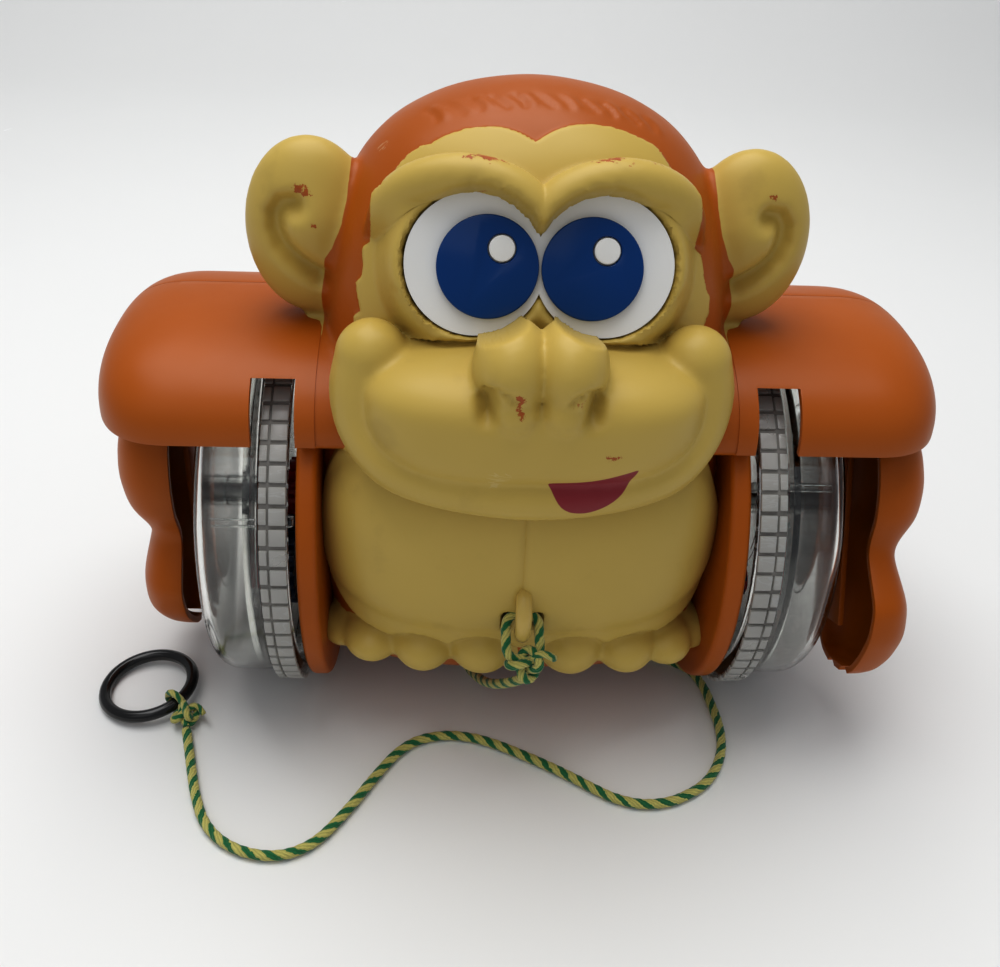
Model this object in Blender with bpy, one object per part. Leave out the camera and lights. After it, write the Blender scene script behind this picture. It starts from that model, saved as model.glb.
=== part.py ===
"""Pull-along monkey with two clear drum wheels and swinging arms, as separate solids.

Metres, +Z up, front towards -Y.  "left" is -X, "right" is +X, seen from the front.
The floor is z = 0 and the drum wheels turn on a fixed steel axle along X.
"""
import math

import bmesh
import bpy
from mathutils import Matrix, Vector

MM = 0.001
GAP = 0.3 * MM            # clearance between touching or cut pieces
WALL = 2.0 * MM           # moulded shell wall
REAR_WALL = 4.0 * MM      # back wall, heavier so that the roller stays on the floor

# Wheels and axle
WHEEL_R = 60 * MM         # over the tread
AXLE_Y = 1.6 * MM         # axle line, so that the body is centred front to back
AXLE_R = 2.5 * MM
RIM_W = 7.5 * MM
DRUM_DROP = 3 * MM        # drum is this much smaller than the tread
DRUM_WALL = 2.0 * MM
COVER_T = 2 * MM
HUB_R = 5.0 * MM
RUN = 0.3 * MM            # running clearance on a shaft

# Body
BODY_HALF_W = 61.0 * MM
HEAD_TOP = 192 * MM
BODY_BOTTOM = 14 * MM
PART_Y = 14 * MM          # parting plane of the two shells, measured from the axle
FLANGE_DROP = 1.6 * MM    # side flange is this much smaller than the tread
FLANGE_R = WHEEL_R - FLANGE_DROP
FLANGE_X = BODY_HALF_W + 2.4 * MM   # outer face of the round side flange
FLANGE_ROOT = 3 * MM      # how far the flange disc starts inside the body's side

# Places along the axle, each from the piece before it
SIDE_GAP = 2.2 * MM       # between flange and tread
DRUM_LEN = 26.9 * MM
RIM_IN = FLANGE_X + SIDE_GAP        # tread, body side
DRUM_END = RIM_IN + DRUM_LEN        # closed outer end of the drum

# Shoulder hoods
HOOD_Z = 2 * WHEEL_R - 15.5 * MM    # open lower edge
HOOD_A = 45 * MM          # half depth
HOOD_B = 23 * MM          # rise above the lower edge
HOOD_FLAT = DRUM_END + 2.5 * MM     # where the rounded outer end begins
HOOD_END = HOOD_FLAT + 27 * MM
NOTCH_X0 = RIM_IN - 2.6 * MM
NOTCH_X1 = RIM_IN + 9.4 * MM
NOTCH_TOP = 2 * WHEEL_R + 1 * MM

# Arms
ARM_PIVOT_Z = HOOD_Z + 7.5 * MM
ARM_EDGE = DRUM_END + 11 * MM       # open edge of the arm channel, towards the drum
ARM_WALL = 2.0 * MM
ARM_SIDES = 8             # facets round the channel
ARM_HUB_R = 4.6 * MM
ARM_PIN_R = 2.0 * MM
ARM_REST_DEG = {-1: 3.0, 1: 27.0}   # forward swing at rest, left and right

# Gear train in the hollow of each wheel
GEAR_MODULE = 1.43 * MM
DRIVE_TEETH = 14
IDLER_TEETH = 18
GEAR_X = RIM_IN + 2.6 * MM
GEAR_T = 4.0 * MM
COVER_X = GEAR_X + GEAR_T + 3.8 * MM   # clear inner cover of the drum
IDLER_ANGLE = math.radians(212)     # direction from the axle to the idler stud, in the YZ plane
STUD_R = 1.6 * MM
CRANK_THROW = 24 * MM

# Rear roller
ROLLER_Y = 54 * MM
ROLLER_R = 9 * MM
ROLLER_W = 16 * MM
ROLLER_PIN_R = 1.5 * MM

# Eyes
EYE_C = Vector((0, -43 * MM, 159 * MM))
EYE_TILT = math.radians(23)
EYE_R = 17.4 * MM
EYE_DX = EYE_R - 1.4 * MM
EYE_T = 3.0 * MM
IRIS_R = EYE_R - 4.8 * MM
IRIS_DX = EYE_DX - 3.1 * MM
IRIS_T = 1.6 * MM

# Screws that join the shells
SCREWS = [(-38, 118), (38, 118), (-38, 34), (38, 34)]     # x, z in mm
BOSS_R = 4.2 * MM
SCREW_R = 1.5 * MM

# Cord
CORD_D = 3.1 * MM
RING_OD = 32 * MM
RING_WIRE = 3.8 * MM
RING_C = (-118.5, -31.5)
RING_TILT = math.radians(6)

# The hanging tail, the hidden loop under the body and the free length on the floor, in mm.
CORD_ROUTE = [
    (3.3, -67.0, 45.2), (0.2, -62.5, 37.2), (-4.7, -54, 27.2), (-8.4, -44, 18), (-11.5, -33, 10.5),
    (-14, -22, 4.6), (-14.5, -13, 1.8), (-9, -5, 1.6), (2, -1.5, 1.6), (18, -4, 1.6), (36, -9, 1.6),
    (53, -15, 1.6), (62.5, -20.5, 1.6), (66.3, -28.5, 1.6), (67.8, -38, 1.6), (68.4, -47, 1.6),
    (67.4, -56, 1.6), (64.2, -64.2, 1.6), (59.2, -70.8, 1.6), (53, -75.2, 1.6), (46.2, -78, 1.6),
    (38.3, -78.6, 1.6), (31, -76.6, 1.6), (24.8, -73, 1.6), (18.3, -68.5, 1.6), (11.2, -64, 1.6),
    (3, -59.3, 1.6), (-5.6, -54.9, 1.6), (-13.6, -52.2, 1.6), (-21.8, -51.6, 1.6), (-29.8, -53.8, 1.6),
    (-35.6, -58.5, 1.6), (-39.8, -64.3, 1.6), (-43.8, -70.8, 1.6), (-48.8, -79.3, 1.6),
    (-56.2, -90, 1.6), (-62.9, -95.2, 1.6), (-70.2, -96.8, 1.6), (-78.2, -95.3, 1.6),
    (-85.4, -91.2, 1.6), (-91, -84.8, 1.6), (-95, -76, 1.6), (-97.7, -67.6, 1.6),
    (-100.5, -58, 1.6), (-103, -49.5, 1.6),
]

COLOURS = {
    "orange": ((0.46, 0.115, 0.022, 1), 0.42, 0),
    "clear": ((0.86, 0.87, 0.86, 1), 0.12, 0),
    "white": ((0.78, 0.79, 0.78, 1), 0.3, 0),
    "blue": ((0.004, 0.055, 0.26, 1), 0.22, 0),
    "red": ((0.5, 0.015, 0.02, 1), 0.35, 0),
    "navy": ((0.02, 0.03, 0.09, 1), 0.4, 0),
    "steel": ((0.5, 0.5, 0.5, 1), 0.3, 1),
    "black": ((0.006, 0.006, 0.006, 1), 0.2, 0),
    "cord": ((0.42, 0.42, 0.1, 1), 0.9, 0),
}


# ---------------------------------------------------------------- scene helpers

for old in list(bpy.data.objects):
    bpy.data.objects.remove(old, do_unlink=True)

parts = bpy.data.collections.new("pull_along_monkey")
cutters = bpy.data.collections.new("cutters")
bpy.context.scene.collection.children.link(parts)
bpy.context.scene.collection.children.link(cutters)


def material(name):
    """The Principled material of one plastic or metal."""
    if name in bpy.data.materials:
        return bpy.data.materials[name]
    colour, rough, metal = COLOURS[name]
    mat = bpy.data.materials.new(name)
    mat.use_nodes = True
    shader = mat.node_tree.nodes["Principled BSDF"]
    shader.inputs["Base Color"].default_value = colour
    shader.inputs["Roughness"].default_value = rough
    shader.inputs["Metallic"].default_value = metal
    return mat


def add(name, bm, mat=None, angle=40):
    """A named part from a bmesh; without a material it is a cutter."""
    mesh = bpy.data.meshes.new(name)
    bm.to_mesh(mesh)
    bm.free()
    obj = bpy.data.objects.new(name, mesh)
    if mat:
        mesh.materials.append(material(mat))
        mesh.shade_smooth()
        mesh.set_sharp_from_angle(angle=math.radians(angle))
        parts.objects.link(obj)
    else:
        cutters.objects.link(obj)
        obj.hide_render = True
        obj.display_type = "WIRE"
    return obj


def combine(obj, other, operation):
    """One exact Boolean modifier on obj."""
    mod = obj.modifiers.new(operation.lower(), "BOOLEAN")
    mod.operation = operation
    mod.solver = "EXACT"
    mod.object = other


def bake(obj):
    """Replace obj's mesh by its evaluated mesh, so that it can be used again."""
    bpy.context.view_layer.update()
    mesh = bpy.data.meshes.new_from_object(obj.evaluated_get(bpy.context.evaluated_depsgraph_get()))
    obj.modifiers.clear()
    obj.data = mesh


def union_all(base, others):
    """Join solids to base one after the other and remove them."""
    for other in others:
        combine(base, other, "UNION")
        bake(base)
        bpy.data.objects.remove(other, do_unlink=True)
    return base


def cut_all(base, others):
    """Cut solids out of base one after the other and remove them."""
    for other in others:
        combine(base, other, "DIFFERENCE")
        bake(base)
        bpy.data.objects.remove(other, do_unlink=True)
    return base


def box(name, low, high):
    """A box between two corners."""
    bm = bmesh.new()
    low = Vector(low)
    high = Vector(high)
    place = Matrix.Translation((low + high) / 2) @ Matrix.Diagonal((*(high - low), 1))
    bmesh.ops.create_cube(bm, size=1, matrix=place)
    return add(name, bm)


def ball(name, centre, radii, segments=20, rings=12):
    """An ellipsoid with semi-axes radii."""
    bm = bmesh.new()
    place = Matrix.Translation(centre) @ Matrix.Diagonal((*radii, 1))
    bmesh.ops.create_uvsphere(bm, u_segments=segments, v_segments=rings, radius=1, matrix=place)
    return add(name, bm)


def turned(name, profile, x_sign=1, centre=(0, 0), mat=None, segments=48):
    """A solid turned about an X-parallel axis; profile is a closed loop of (x, r), r > 0."""
    bm = bmesh.new()
    rings = []
    for step in range(segments):
        a = 2 * math.pi * step / segments
        rings.append([bm.verts.new((x_sign * x, centre[0] + r * math.cos(a), centre[1] + r * math.sin(a)))
                      for x, r in profile])
    count = len(profile)
    for step in range(segments):
        here, there = rings[step], rings[(step + 1) % segments]
        for i in range(count):
            j = (i + 1) % count
            bm.faces.new((here[i], here[j], there[j], there[i]))
    bmesh.ops.recalc_face_normals(bm, faces=bm.faces)
    return add(name, bm, mat)


def rod(name, x0, x1, radius, centre, mat=None, segments=24):
    """A cylinder along X."""
    bm = bmesh.new()
    place = Matrix.Translation(((x0 + x1) / 2, centre[0], centre[1])) @ Matrix.Rotation(math.pi / 2, 4, "Y")
    bmesh.ops.create_cone(bm, cap_ends=True, segments=segments, radius1=radius, radius2=radius,
                          depth=abs(x1 - x0), matrix=place)
    return add(name, bm, mat)


def post(name, y0, y1, radius, x, z, mat=None, segments=16):
    """A cylinder along Y."""
    bm = bmesh.new()
    place = Matrix.Translation((x, (y0 + y1) / 2, z)) @ Matrix.Rotation(math.pi / 2, 4, "X")
    bmesh.ops.create_cone(bm, cap_ends=True, segments=segments, radius1=radius, radius2=radius,
                          depth=abs(y1 - y0), matrix=place)
    return add(name, bm, mat)


def loft(name, rings, mat=None):
    """A closed solid through rings with the same number of points."""
    bm = bmesh.new()
    loops = [[bm.verts.new(p) for p in ring] for ring in rings]
    count = len(loops[0])
    for low, high in zip(loops, loops[1:]):
        for i in range(count):
            j = (i + 1) % count
            bm.faces.new((low[i], low[j], high[j], high[i]))
    bm.faces.new(list(reversed(loops[0])))
    bm.faces.new(loops[-1])
    bmesh.ops.recalc_face_normals(bm, faces=bm.faces)
    return add(name, bm, mat)


def smooth_points(route, spacing):
    """Evenly spaced points read from a Catmull-Rom curve through the route."""
    pts = [Vector(p) for p in route]
    pts = [2 * pts[0] - pts[1]] + pts + [2 * pts[-1] - pts[-2]]
    fine = []
    for a, b, c, d in zip(pts, pts[1:], pts[2:], pts[3:]):
        for k in range(20):
            t = k / 20
            fine.append(0.5 * (2 * b + (c - a) * t + (2 * a - 5 * b + 4 * c - d) * t * t
                               + (3 * b - a - 3 * c + d) * t ** 3))
    fine.append(pts[-2])
    total = sum((q - p).length for p, q in zip(fine, fine[1:]))
    count = max(2, round(total / spacing))
    out, walked, target = [fine[0]], 0.0, total / count
    for p, q in zip(fine, fine[1:]):
        step = (q - p).length
        while walked + step >= target and len(out) < count:
            out.append(p.lerp(q, (target - walked) / step))
            target += total / count
        walked += step
    out.append(fine[-1])
    return out


def tube(name, points, radius, mat, cyclic=False, resolution=2):
    """A round wire along points."""
    curve = bpy.data.curves.new(name, "CURVE")
    curve.dimensions = "3D"
    curve.bevel_depth = radius
    curve.bevel_resolution = resolution
    curve.use_fill_caps = not cyclic
    spline = curve.splines.new("POLY")
    spline.points.add(len(points) - 1)
    for point, co in zip(spline.points, points):
        point.co = (*co, 1)
    spline.use_cyclic_u = cyclic
    curve.materials.append(material(mat))
    obj = bpy.data.objects.new(name, curve)
    parts.objects.link(obj)
    return obj


def curve_to_mesh(obj):
    """Make a curve object's tube one welded mesh object under the same name."""
    bpy.context.view_layer.update()
    mesh = bpy.data.meshes.new_from_object(obj.evaluated_get(bpy.context.evaluated_depsgraph_get()))
    bm = bmesh.new()
    bm.from_mesh(mesh)
    bmesh.ops.remove_doubles(bm, verts=bm.verts, dist=0.00001)
    bmesh.ops.recalc_face_normals(bm, faces=bm.faces)
    bm.to_mesh(mesh)
    bm.free()
    name, place = obj.name, obj.matrix_world.copy()
    bpy.data.objects.remove(obj, do_unlink=True)
    new = bpy.data.objects.new(name, mesh)
    new.matrix_world = place
    parts.objects.link(new)
    return new


# ---------------------------------------------------------------- body shells

# height, half width, front, rear, roundness of the body's level sections, in mm
BODY_SECTIONS = [
    (14, 53, -30, 62, 3.2), (22, 57, -42, 71, 3.2), (34, 60, -52, 75, 3.0), (60, 61, -58, 77, 2.9),
    (88, 61, -56, 75, 2.9), (104, 60, -51, 70, 2.7), (122, 57, -47, 64, 2.5), (142, 56.5, -45, 59, 2.4),
    (158, 53.5, -42, 52, 2.3), (171, 47.5, -36.5, 42, 2.2), (181, 38.5, -29, 31, 2.1),
    (188, 26, -19, 21, 2.0), (192, 9, -6, 8, 2.0),
]


def section_ring(z, half, front, rear, power, inset, rear_inset, count=24):
    """A level ring: a superellipse with unlike front and rear depths."""
    ring = []
    for i in range(count):
        a = 2 * math.pi * (i + 0.5) / count
        c, s = math.cos(a), math.sin(a)
        x = math.copysign(abs(c) ** (2 / power), c) * (half * MM - inset)
        depth = rear * MM - rear_inset if s > 0 else -front * MM - inset
        y = math.copysign(abs(s) ** (2 / power), s) * depth
        ring.append((x, y, z))
    return ring


def body_core(name, inset, rear_inset):
    """The belly and head, without muzzle, ears and shoulders."""
    rings = []
    scale_w = BODY_HALF_W / (61 * MM)
    scale_h = (HEAD_TOP - BODY_BOTTOM) / (178 * MM)
    for i, (z, half, front, rear, power) in enumerate(BODY_SECTIONS):
        height = BODY_BOTTOM + (z - 14) * MM * scale_h
        if i == 0:
            height += inset
        if i == len(BODY_SECTIONS) - 1:
            height -= inset
        rings.append(section_ring(height, half * scale_w, front, rear, power, inset, rear_inset))
    return loft(name, rings)


def features(name, inset):
    """Muzzle, cheeks, nose, belly halves and ears, all shrunk by inset."""
    detail = 20 if inset == 0 else 12
    small = 12 if inset == 0 else 8
    blobs = [("muzzle", (0, -50, 116), (52, 26, 22), detail)]
    for side in (-1, 1):
        blobs.append(("cheek", (side * 42, -46, 124), (12, 14, 15), small))
        blobs.append(("nostril", (side * 8.5, -68, 136), (9, 12, 13), small))
        blobs.append(("belly_half", (side * 27, -25, 68), (31, 37.5, 40), small + 2))
        blobs.append(("ear", (side * 60, -6, 153), (18, 12, 25), small + 2))
    solids = []
    for label, centre, radii, segments in blobs:
        solids.append(ball(name + "_" + label, Vector(centre) * MM, [r * MM - inset for r in radii],
                           segments=segments, rings=segments // 2 + 1))
    return solids


def hood(name, side, inset, floor_z):
    """One shoulder: the upper half of an elliptic tunnel along X with a rounded outer end."""
    rings = []
    stations = [50 * MM, HOOD_FLAT] if inset == 0 else [RIM_IN - 1.2 * MM, HOOD_FLAT]
    for k in range(1, 5):
        a = math.radians(20 * k if k < 4 else 84)
        stations.append(HOOD_FLAT + (HOOD_END - HOOD_FLAT - inset) * math.sin(a))
    for x in stations:
        t = max(0.0, (x - HOOD_FLAT) / (HOOD_END - HOOD_FLAT - inset))
        scale = math.sqrt(max(0.0, 1 - t * t))
        a = (HOOD_A - inset) * scale
        b = (HOOD_B - inset) * scale
        ring = [(side * x, -a * math.cos(u), HOOD_Z + b * math.sin(u))
                for u in (math.pi * i / 12 for i in range(13))]
        ring.append((side * x, a, floor_z))
        ring.append((side * x, -a, floor_z))
        rings.append(ring)
    return loft(name, rings)


def make_shells():
    """Front and rear shells, hollow, with bosses, axle tube, hoods and flanges."""
    outer = body_core("body", 0, 0)
    extras = features("outer", 0)
    for side in (-1, 1):
        extras.append(hood("hood", side, 0, HOOD_Z))
        inside = side * (BODY_HALF_W - FLANGE_ROOT)
        extras.append(rod("flange", inside, side * FLANGE_X, FLANGE_R, (0, WHEEL_R), segments=36))
    outer = union_all(outer, extras)

    inner = body_core("body_hollow", WALL, REAR_WALL)
    union_all(inner, features("inner", WALL))
    solids = [rod("axle_tube", -90 * MM, 90 * MM, AXLE_R + 2.5 * MM, (0, WHEEL_R), segments=16)]
    for x, z in SCREWS:
        solids.append(post("boss", -90 * MM, 90 * MM, BOSS_R, x * MM, z * MM, segments=12))
    cut_all(inner, solids)
    cut_all(outer, [inner])

    for side in (-1, 1):
        cavity = hood("hood_hollow", side, WALL, HOOD_Z - 5 * MM)
        low, high = sorted((side * (DRUM_END + 4 * MM), side * (DRUM_END + 7.5 * MM)))
        rib = box("rib", (low, -7 * MM, HOOD_Z - 4 * MM), (high, 7 * MM, HOOD_Z + HOOD_B))
        cut_all(cavity, [rib])
        cut_all(outer, [cavity])
        under = box("hood_under", sorted_low(side * FLANGE_X, side * 130 * MM, -60, 90.0),
                    sorted_high(side * FLANGE_X, side * 130 * MM, 60, HOOD_Z / MM - 3.0))
        cut_all(outer, [under])
        notch = box("notch", sorted_low(side * NOTCH_X0, side * NOTCH_X1, -70, 90.0),
                    sorted_high(side * NOTCH_X0, side * NOTCH_X1, -20, NOTCH_TOP / MM))
        cut_all(outer, [notch])
        pin = rod("pin_hole", side * (DRUM_END + 2 * MM), side * (DRUM_END + 9 * MM), ARM_PIN_R + GAP,
                  (0, ARM_PIVOT_Z), segments=16)
        cut_all(outer, [pin])
        stud = rod("stud_hole", side * (FLANGE_X - 5 * MM), side * (FLANGE_X + 5 * MM), STUD_R + GAP,
                   idler_centre(), segments=16)
        cut_all(outer, [stud])
    cut_all(outer, [rod("axle_hole", -90 * MM, 90 * MM, AXLE_R + GAP, (0, WHEEL_R), segments=24)])

    roller_box = box("roller_pocket", (-ROLLER_W / 2 - 1.5 * MM, ROLLER_Y - ROLLER_R - 2 * MM, -1 * MM),
                     (ROLLER_W / 2 + 1.5 * MM, ROLLER_Y + ROLLER_R + 2 * MM, 2 * ROLLER_R + 2 * MM))
    lugs = [box("lug", (s * 10.75 * MM - 1.25 * MM, ROLLER_Y - 5 * MM, ROLLER_R - 4 * MM),
                (s * 10.75 * MM + 1.25 * MM, ROLLER_Y + 5 * MM, 26 * MM)) for s in (-1, 1)]
    union_all(outer, lugs)
    pin = rod("roller_pin_hole", -16 * MM, 16 * MM, ROLLER_PIN_R + GAP, (ROLLER_Y, ROLLER_R), segments=16)
    cut_all(outer, [roller_box, pin])

    tilt = Matrix.Translation(EYE_C) @ Matrix.Rotation(-EYE_TILT, 4, "X")
    socket = eye_outline("eye_socket", EYE_R + GAP, -12 * MM, EYE_T, tilt, None)
    cut_all(outer, [socket])

    eyelet = tube("eyelet", [(0, -56.5 * MM, 68 * MM), (0, -61 * MM, 69.5 * MM), (0, -65 * MM, 67 * MM),
                             (0, -66.5 * MM, 62.5 * MM), (0, -65 * MM, 58 * MM), (0, -61 * MM, 55.2 * MM),
                             (0, -56.5 * MM, 55 * MM)], 2.2 * MM, "orange")
    union_all(outer, [curve_to_mesh(eyelet)])

    for x, z in SCREWS:
        bore = post("screw_bore", PART_Y - 15 * MM, PART_Y + 20 * MM, SCREW_R + GAP, x * MM, z * MM,
                    segments=12)
        well = post("screw_well", PART_Y + 12 * MM, 95 * MM, 3 * MM, x * MM, z * MM, segments=12)
        cut_all(outer, [union_all(bore, [well])])

    front_cut = box("front_cut", (-150 * MM, PART_Y - GAP / 2, -10 * MM), (150 * MM, 150 * MM, 250 * MM))
    rear_cut = box("rear_cut", (-150 * MM, -150 * MM, -10 * MM), (150 * MM, PART_Y + GAP / 2, 250 * MM))
    for name, cutter in (("front_shell", front_cut), ("rear_shell", rear_cut)):
        bm = bmesh.new()
        bm.from_mesh(outer.data)
        shell = add(name, bm, "orange", angle=50)
        cut_all(shell, [cutter])
        tidy(shell, "orange")
    bpy.data.objects.remove(outer, do_unlink=True)


def tidy(obj, mat):
    """Weld Boolean slivers and set the finish again."""
    bm = bmesh.new()
    bm.from_mesh(obj.data)
    bmesh.ops.remove_doubles(bm, verts=bm.verts, dist=0.00002)
    bmesh.ops.dissolve_degenerate(bm, edges=bm.edges, dist=0.00001)
    bm.to_mesh(obj.data)
    bm.free()
    obj.data.materials.clear()
    obj.data.materials.append(material(mat))
    obj.data.shade_smooth()
    obj.data.set_sharp_from_angle(angle=math.radians(45))


def sorted_low(x0, x1, y_mm, z_mm):
    """Lower corner of a box between two X values."""
    return (min(x0, x1), y_mm * MM, z_mm * MM)


def sorted_high(x0, x1, y_mm, z_mm):
    """Upper corner of a box between two X values."""
    return (max(x0, x1), y_mm * MM, z_mm * MM)


# ---------------------------------------------------------------- eyes

def eye_outline(name, radius, y0, y1, place, mat):
    """Two merged discs, extruded along the eye's own Y from y0 to y1."""
    reach = math.acos(EYE_DX / radius) if radius > EYE_DX else 0.0
    points = []
    for side in (1, -1):
        start = -(math.pi - reach) if side == 1 else reach
        sweep = 2 * (math.pi - reach)
        for i in range(19):
            a = start + sweep * i / 18
            points.append((side * EYE_DX + radius * math.cos(a), radius * math.sin(a)))
    bm = bmesh.new()
    low = [bm.verts.new(place @ Vector((x, y0, z))) for x, z in points]
    high = [bm.verts.new(place @ Vector((x, y1, z))) for x, z in points]
    count = len(points)
    for i in range(count):
        j = (i + 1) % count
        bm.faces.new((low[i], low[j], high[j], high[i]))
    bm.faces.new(list(reversed(low)))
    bm.faces.new(high)
    bmesh.ops.remove_doubles(bm, verts=bm.verts, dist=0.00001)
    bmesh.ops.recalc_face_normals(bm, faces=bm.faces)
    return add(name, bm, mat)


def make_eyes():
    """White plate with a stud for each highlight, and two blue discs that sit on it."""
    tilt = Matrix.Translation(EYE_C) @ Matrix.Rotation(-EYE_TILT, 4, "X")
    turn = Matrix.Rotation(math.pi / 2, 4, "X")
    plate = eye_outline("eye_plate", EYE_R, -0.4 * MM, EYE_T - GAP, tilt, "white")
    studs = []
    for side in (-1, 1):
        bm = bmesh.new()
        place = tilt @ Matrix.Translation((side * IRIS_DX + 3.4 * MM, -1.2 * MM, 3.9 * MM)) @ turn
        bmesh.ops.create_cone(bm, cap_ends=True, segments=20, radius1=3.2 * MM, radius2=3.2 * MM,
                              depth=2.8 * MM, matrix=place)
        studs.append(add("stud", bm))
    union_all(plate, studs)
    tidy(plate, "white")
    for side, name in ((-1, "iris_left"), (1, "iris_right")):
        bm = bmesh.new()
        place = tilt @ Matrix.Translation((side * IRIS_DX, -0.7 * MM - IRIS_T / 2, -0.6 * MM)) @ turn
        bmesh.ops.create_cone(bm, cap_ends=True, segments=36, radius1=IRIS_R, radius2=IRIS_R,
                              depth=IRIS_T, matrix=place)
        iris = add(name, bm, "blue")
        bm = bmesh.new()
        place = tilt @ Matrix.Translation((side * IRIS_DX + 3.4 * MM, -1.2 * MM, 3.9 * MM)) @ turn
        bmesh.ops.create_cone(bm, cap_ends=True, segments=20, radius1=3.5 * MM, radius2=3.5 * MM,
                              depth=9 * MM, matrix=place)
        cut_all(iris, [add("stud_hole", bm)])
        tidy(iris, "blue")


# ---------------------------------------------------------------- wheels and gears

def idler_centre():
    """Y and Z of the idler stud: one gear mesh away from the axle."""
    reach = GEAR_MODULE * (DRIVE_TEETH + IDLER_TEETH) / 2 + 0.25 * MM
    return (reach * math.cos(IDLER_ANGLE), WHEEL_R + reach * math.sin(IDLER_ANGLE))


def gear(name, side, centre, teeth, bore, holes, phase, mat):
    """A spur gear along X with straight tapered teeth and round lightening holes."""
    pitch = GEAR_MODULE * teeth / 2
    tip, root = pitch + 0.85 * GEAR_MODULE, pitch - 1.15 * GEAR_MODULE
    step = 2 * math.pi / teeth
    bm = bmesh.new()
    points = []
    for k in range(teeth):
        mid = phase + k * step
        for angle, radius in ((-0.34, root), (-0.13, tip), (0.13, tip), (0.34, root)):
            a = mid + angle * step
            points.append((centre[0] + radius * math.cos(a), centre[1] + radius * math.sin(a)))
    low = [bm.verts.new((side * GEAR_X, y, z)) for y, z in points]
    high = [bm.verts.new((side * (GEAR_X + GEAR_T), y, z)) for y, z in points]
    for i in range(len(points)):
        j = (i + 1) % len(points)
        bm.faces.new((low[i], low[j], high[j], high[i]))
    bm.faces.new(low)
    bm.faces.new(high)
    bmesh.ops.recalc_face_normals(bm, faces=bm.faces)
    wheel = add(name, bm, mat, angle=30)
    reach = side * (GEAR_X - 2 * MM), side * (GEAR_X + GEAR_T + 2 * MM)
    cut_all(wheel, [rod("bore", *reach, bore, centre, segments=24)])
    if holes:
        ring = (bore + root) / 2
        size = (root - bore) * 0.28
        for k in range(holes):
            a = 2 * math.pi * k / holes + 0.3
            at = (centre[0] + ring * math.cos(a), centre[1] + ring * math.sin(a))
            cut_all(wheel, [rod("hole", *reach, size, at, segments=8)])
    tidy(wheel, mat)
    return wheel


def drum_profile():
    """Closed section of the clear cup: tread ring, drum wall, end wall and hub tube."""
    drum_r = WHEEL_R - DRUM_DROP
    rim_out = RIM_IN + RIM_W
    corner = 7 * MM
    hub_in = GEAR_X + GEAR_T + GAP
    points = [(RIM_IN, WHEEL_R), (rim_out - 0.6 * MM, WHEEL_R), (rim_out, WHEEL_R - 0.6 * MM),
              (rim_out + 0.9 * MM, drum_r + 0.7 * MM), (rim_out + 2.4 * MM, drum_r)]
    for k in range(4):
        a = math.pi / 2 * k / 3
        points.append((DRUM_END - corner + corner * math.sin(a), drum_r - corner + corner * math.cos(a)))
    inner = corner - DRUM_WALL
    points += [(DRUM_END, AXLE_R + RUN), (hub_in, AXLE_R + RUN), (hub_in, HUB_R)]
    points += [(DRUM_END - DRUM_WALL, HUB_R)]
    for k in range(3):
        a = math.pi / 2 * (2 - k) / 2
        points.append((DRUM_END - corner + inner * math.sin(a), drum_r - corner + inner * math.cos(a)))
    points += [(RIM_IN, drum_r - DRUM_WALL)]
    return points


def make_wheels():
    """For each side: drum, inner cover, drive gear, idler with cam on a stud, crank, spring and cap."""
    axle_end = DRUM_END + 3 * MM
    axle = rod("main_axle", -axle_end, axle_end, AXLE_R, (0, WHEEL_R), "steel", segments=20)
    axle.data.shade_smooth()
    hub_c = (0, WHEEL_R)
    inner_r = WHEEL_R - DRUM_DROP - DRUM_WALL
    for side, tag in ((-1, "left"), (1, "right")):
        turned("drum_" + tag, drum_profile(), side, hub_c, "clear", segments=36)
        turned("drum_cover_" + tag, [(COVER_X, inner_r - GAP), (COVER_X + COVER_T, inner_r - GAP),
                                     (COVER_X + COVER_T, HUB_R + GAP), (COVER_X, HUB_R + GAP)],
               side, hub_c, "clear", segments=28)
        gear("drive_gear_" + tag, side, hub_c, DRIVE_TEETH, AXLE_R + RUN, 5, IDLER_ANGLE, "red")
        mesh_phase = IDLER_ANGLE + math.pi + math.pi / IDLER_TEETH
        gear("idler_gear_" + tag, side, idler_centre(), IDLER_TEETH, STUD_R + RUN, 0, mesh_phase, "navy")
        turned("idler_stud_" + tag, [(FLANGE_X - 4 * MM, STUD_R), (GEAR_X + GEAR_T + 2.6 * MM, STUD_R),
                                     (GEAR_X + GEAR_T + 2.6 * MM, 0.4 * MM), (FLANGE_X - 4 * MM, 0.4 * MM)],
               side, idler_centre(), "steel", segments=16)
        make_cam(side, tag)
        make_crank(side, tag)
        turns = 2.6
        steps = 26
        wire = 0.55 * MM
        reach = AXLE_R + 1.3 * MM
        coil = []
        x0, x1 = FLANGE_X + wire + GAP, GEAR_X - wire - GAP
        for k in range(steps + 1):
            a = 2 * math.pi * turns * k / steps
            x = x0 + (x1 - x0) * k / steps
            coil.append((side * x, reach * math.cos(a), WHEEL_R + reach * math.sin(a)))
        tube("axle_spring_" + tag, coil, wire, "steel", resolution=1)
        cap_x = DRUM_END + 3 * MM + GAP
        low = DRUM_END + 0.6 * MM
        turned("axle_cap_" + tag, [(low, AXLE_R + 1.6 * MM), (cap_x + 1.2 * MM, AXLE_R + 1.1 * MM),
                                   (cap_x + 1.8 * MM, 0.5 * MM), (cap_x, 0.5 * MM), (cap_x, AXLE_R + GAP / 3),
                                   (low, AXLE_R + GAP / 3)], side, hub_c, "steel", segments=20)


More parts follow.
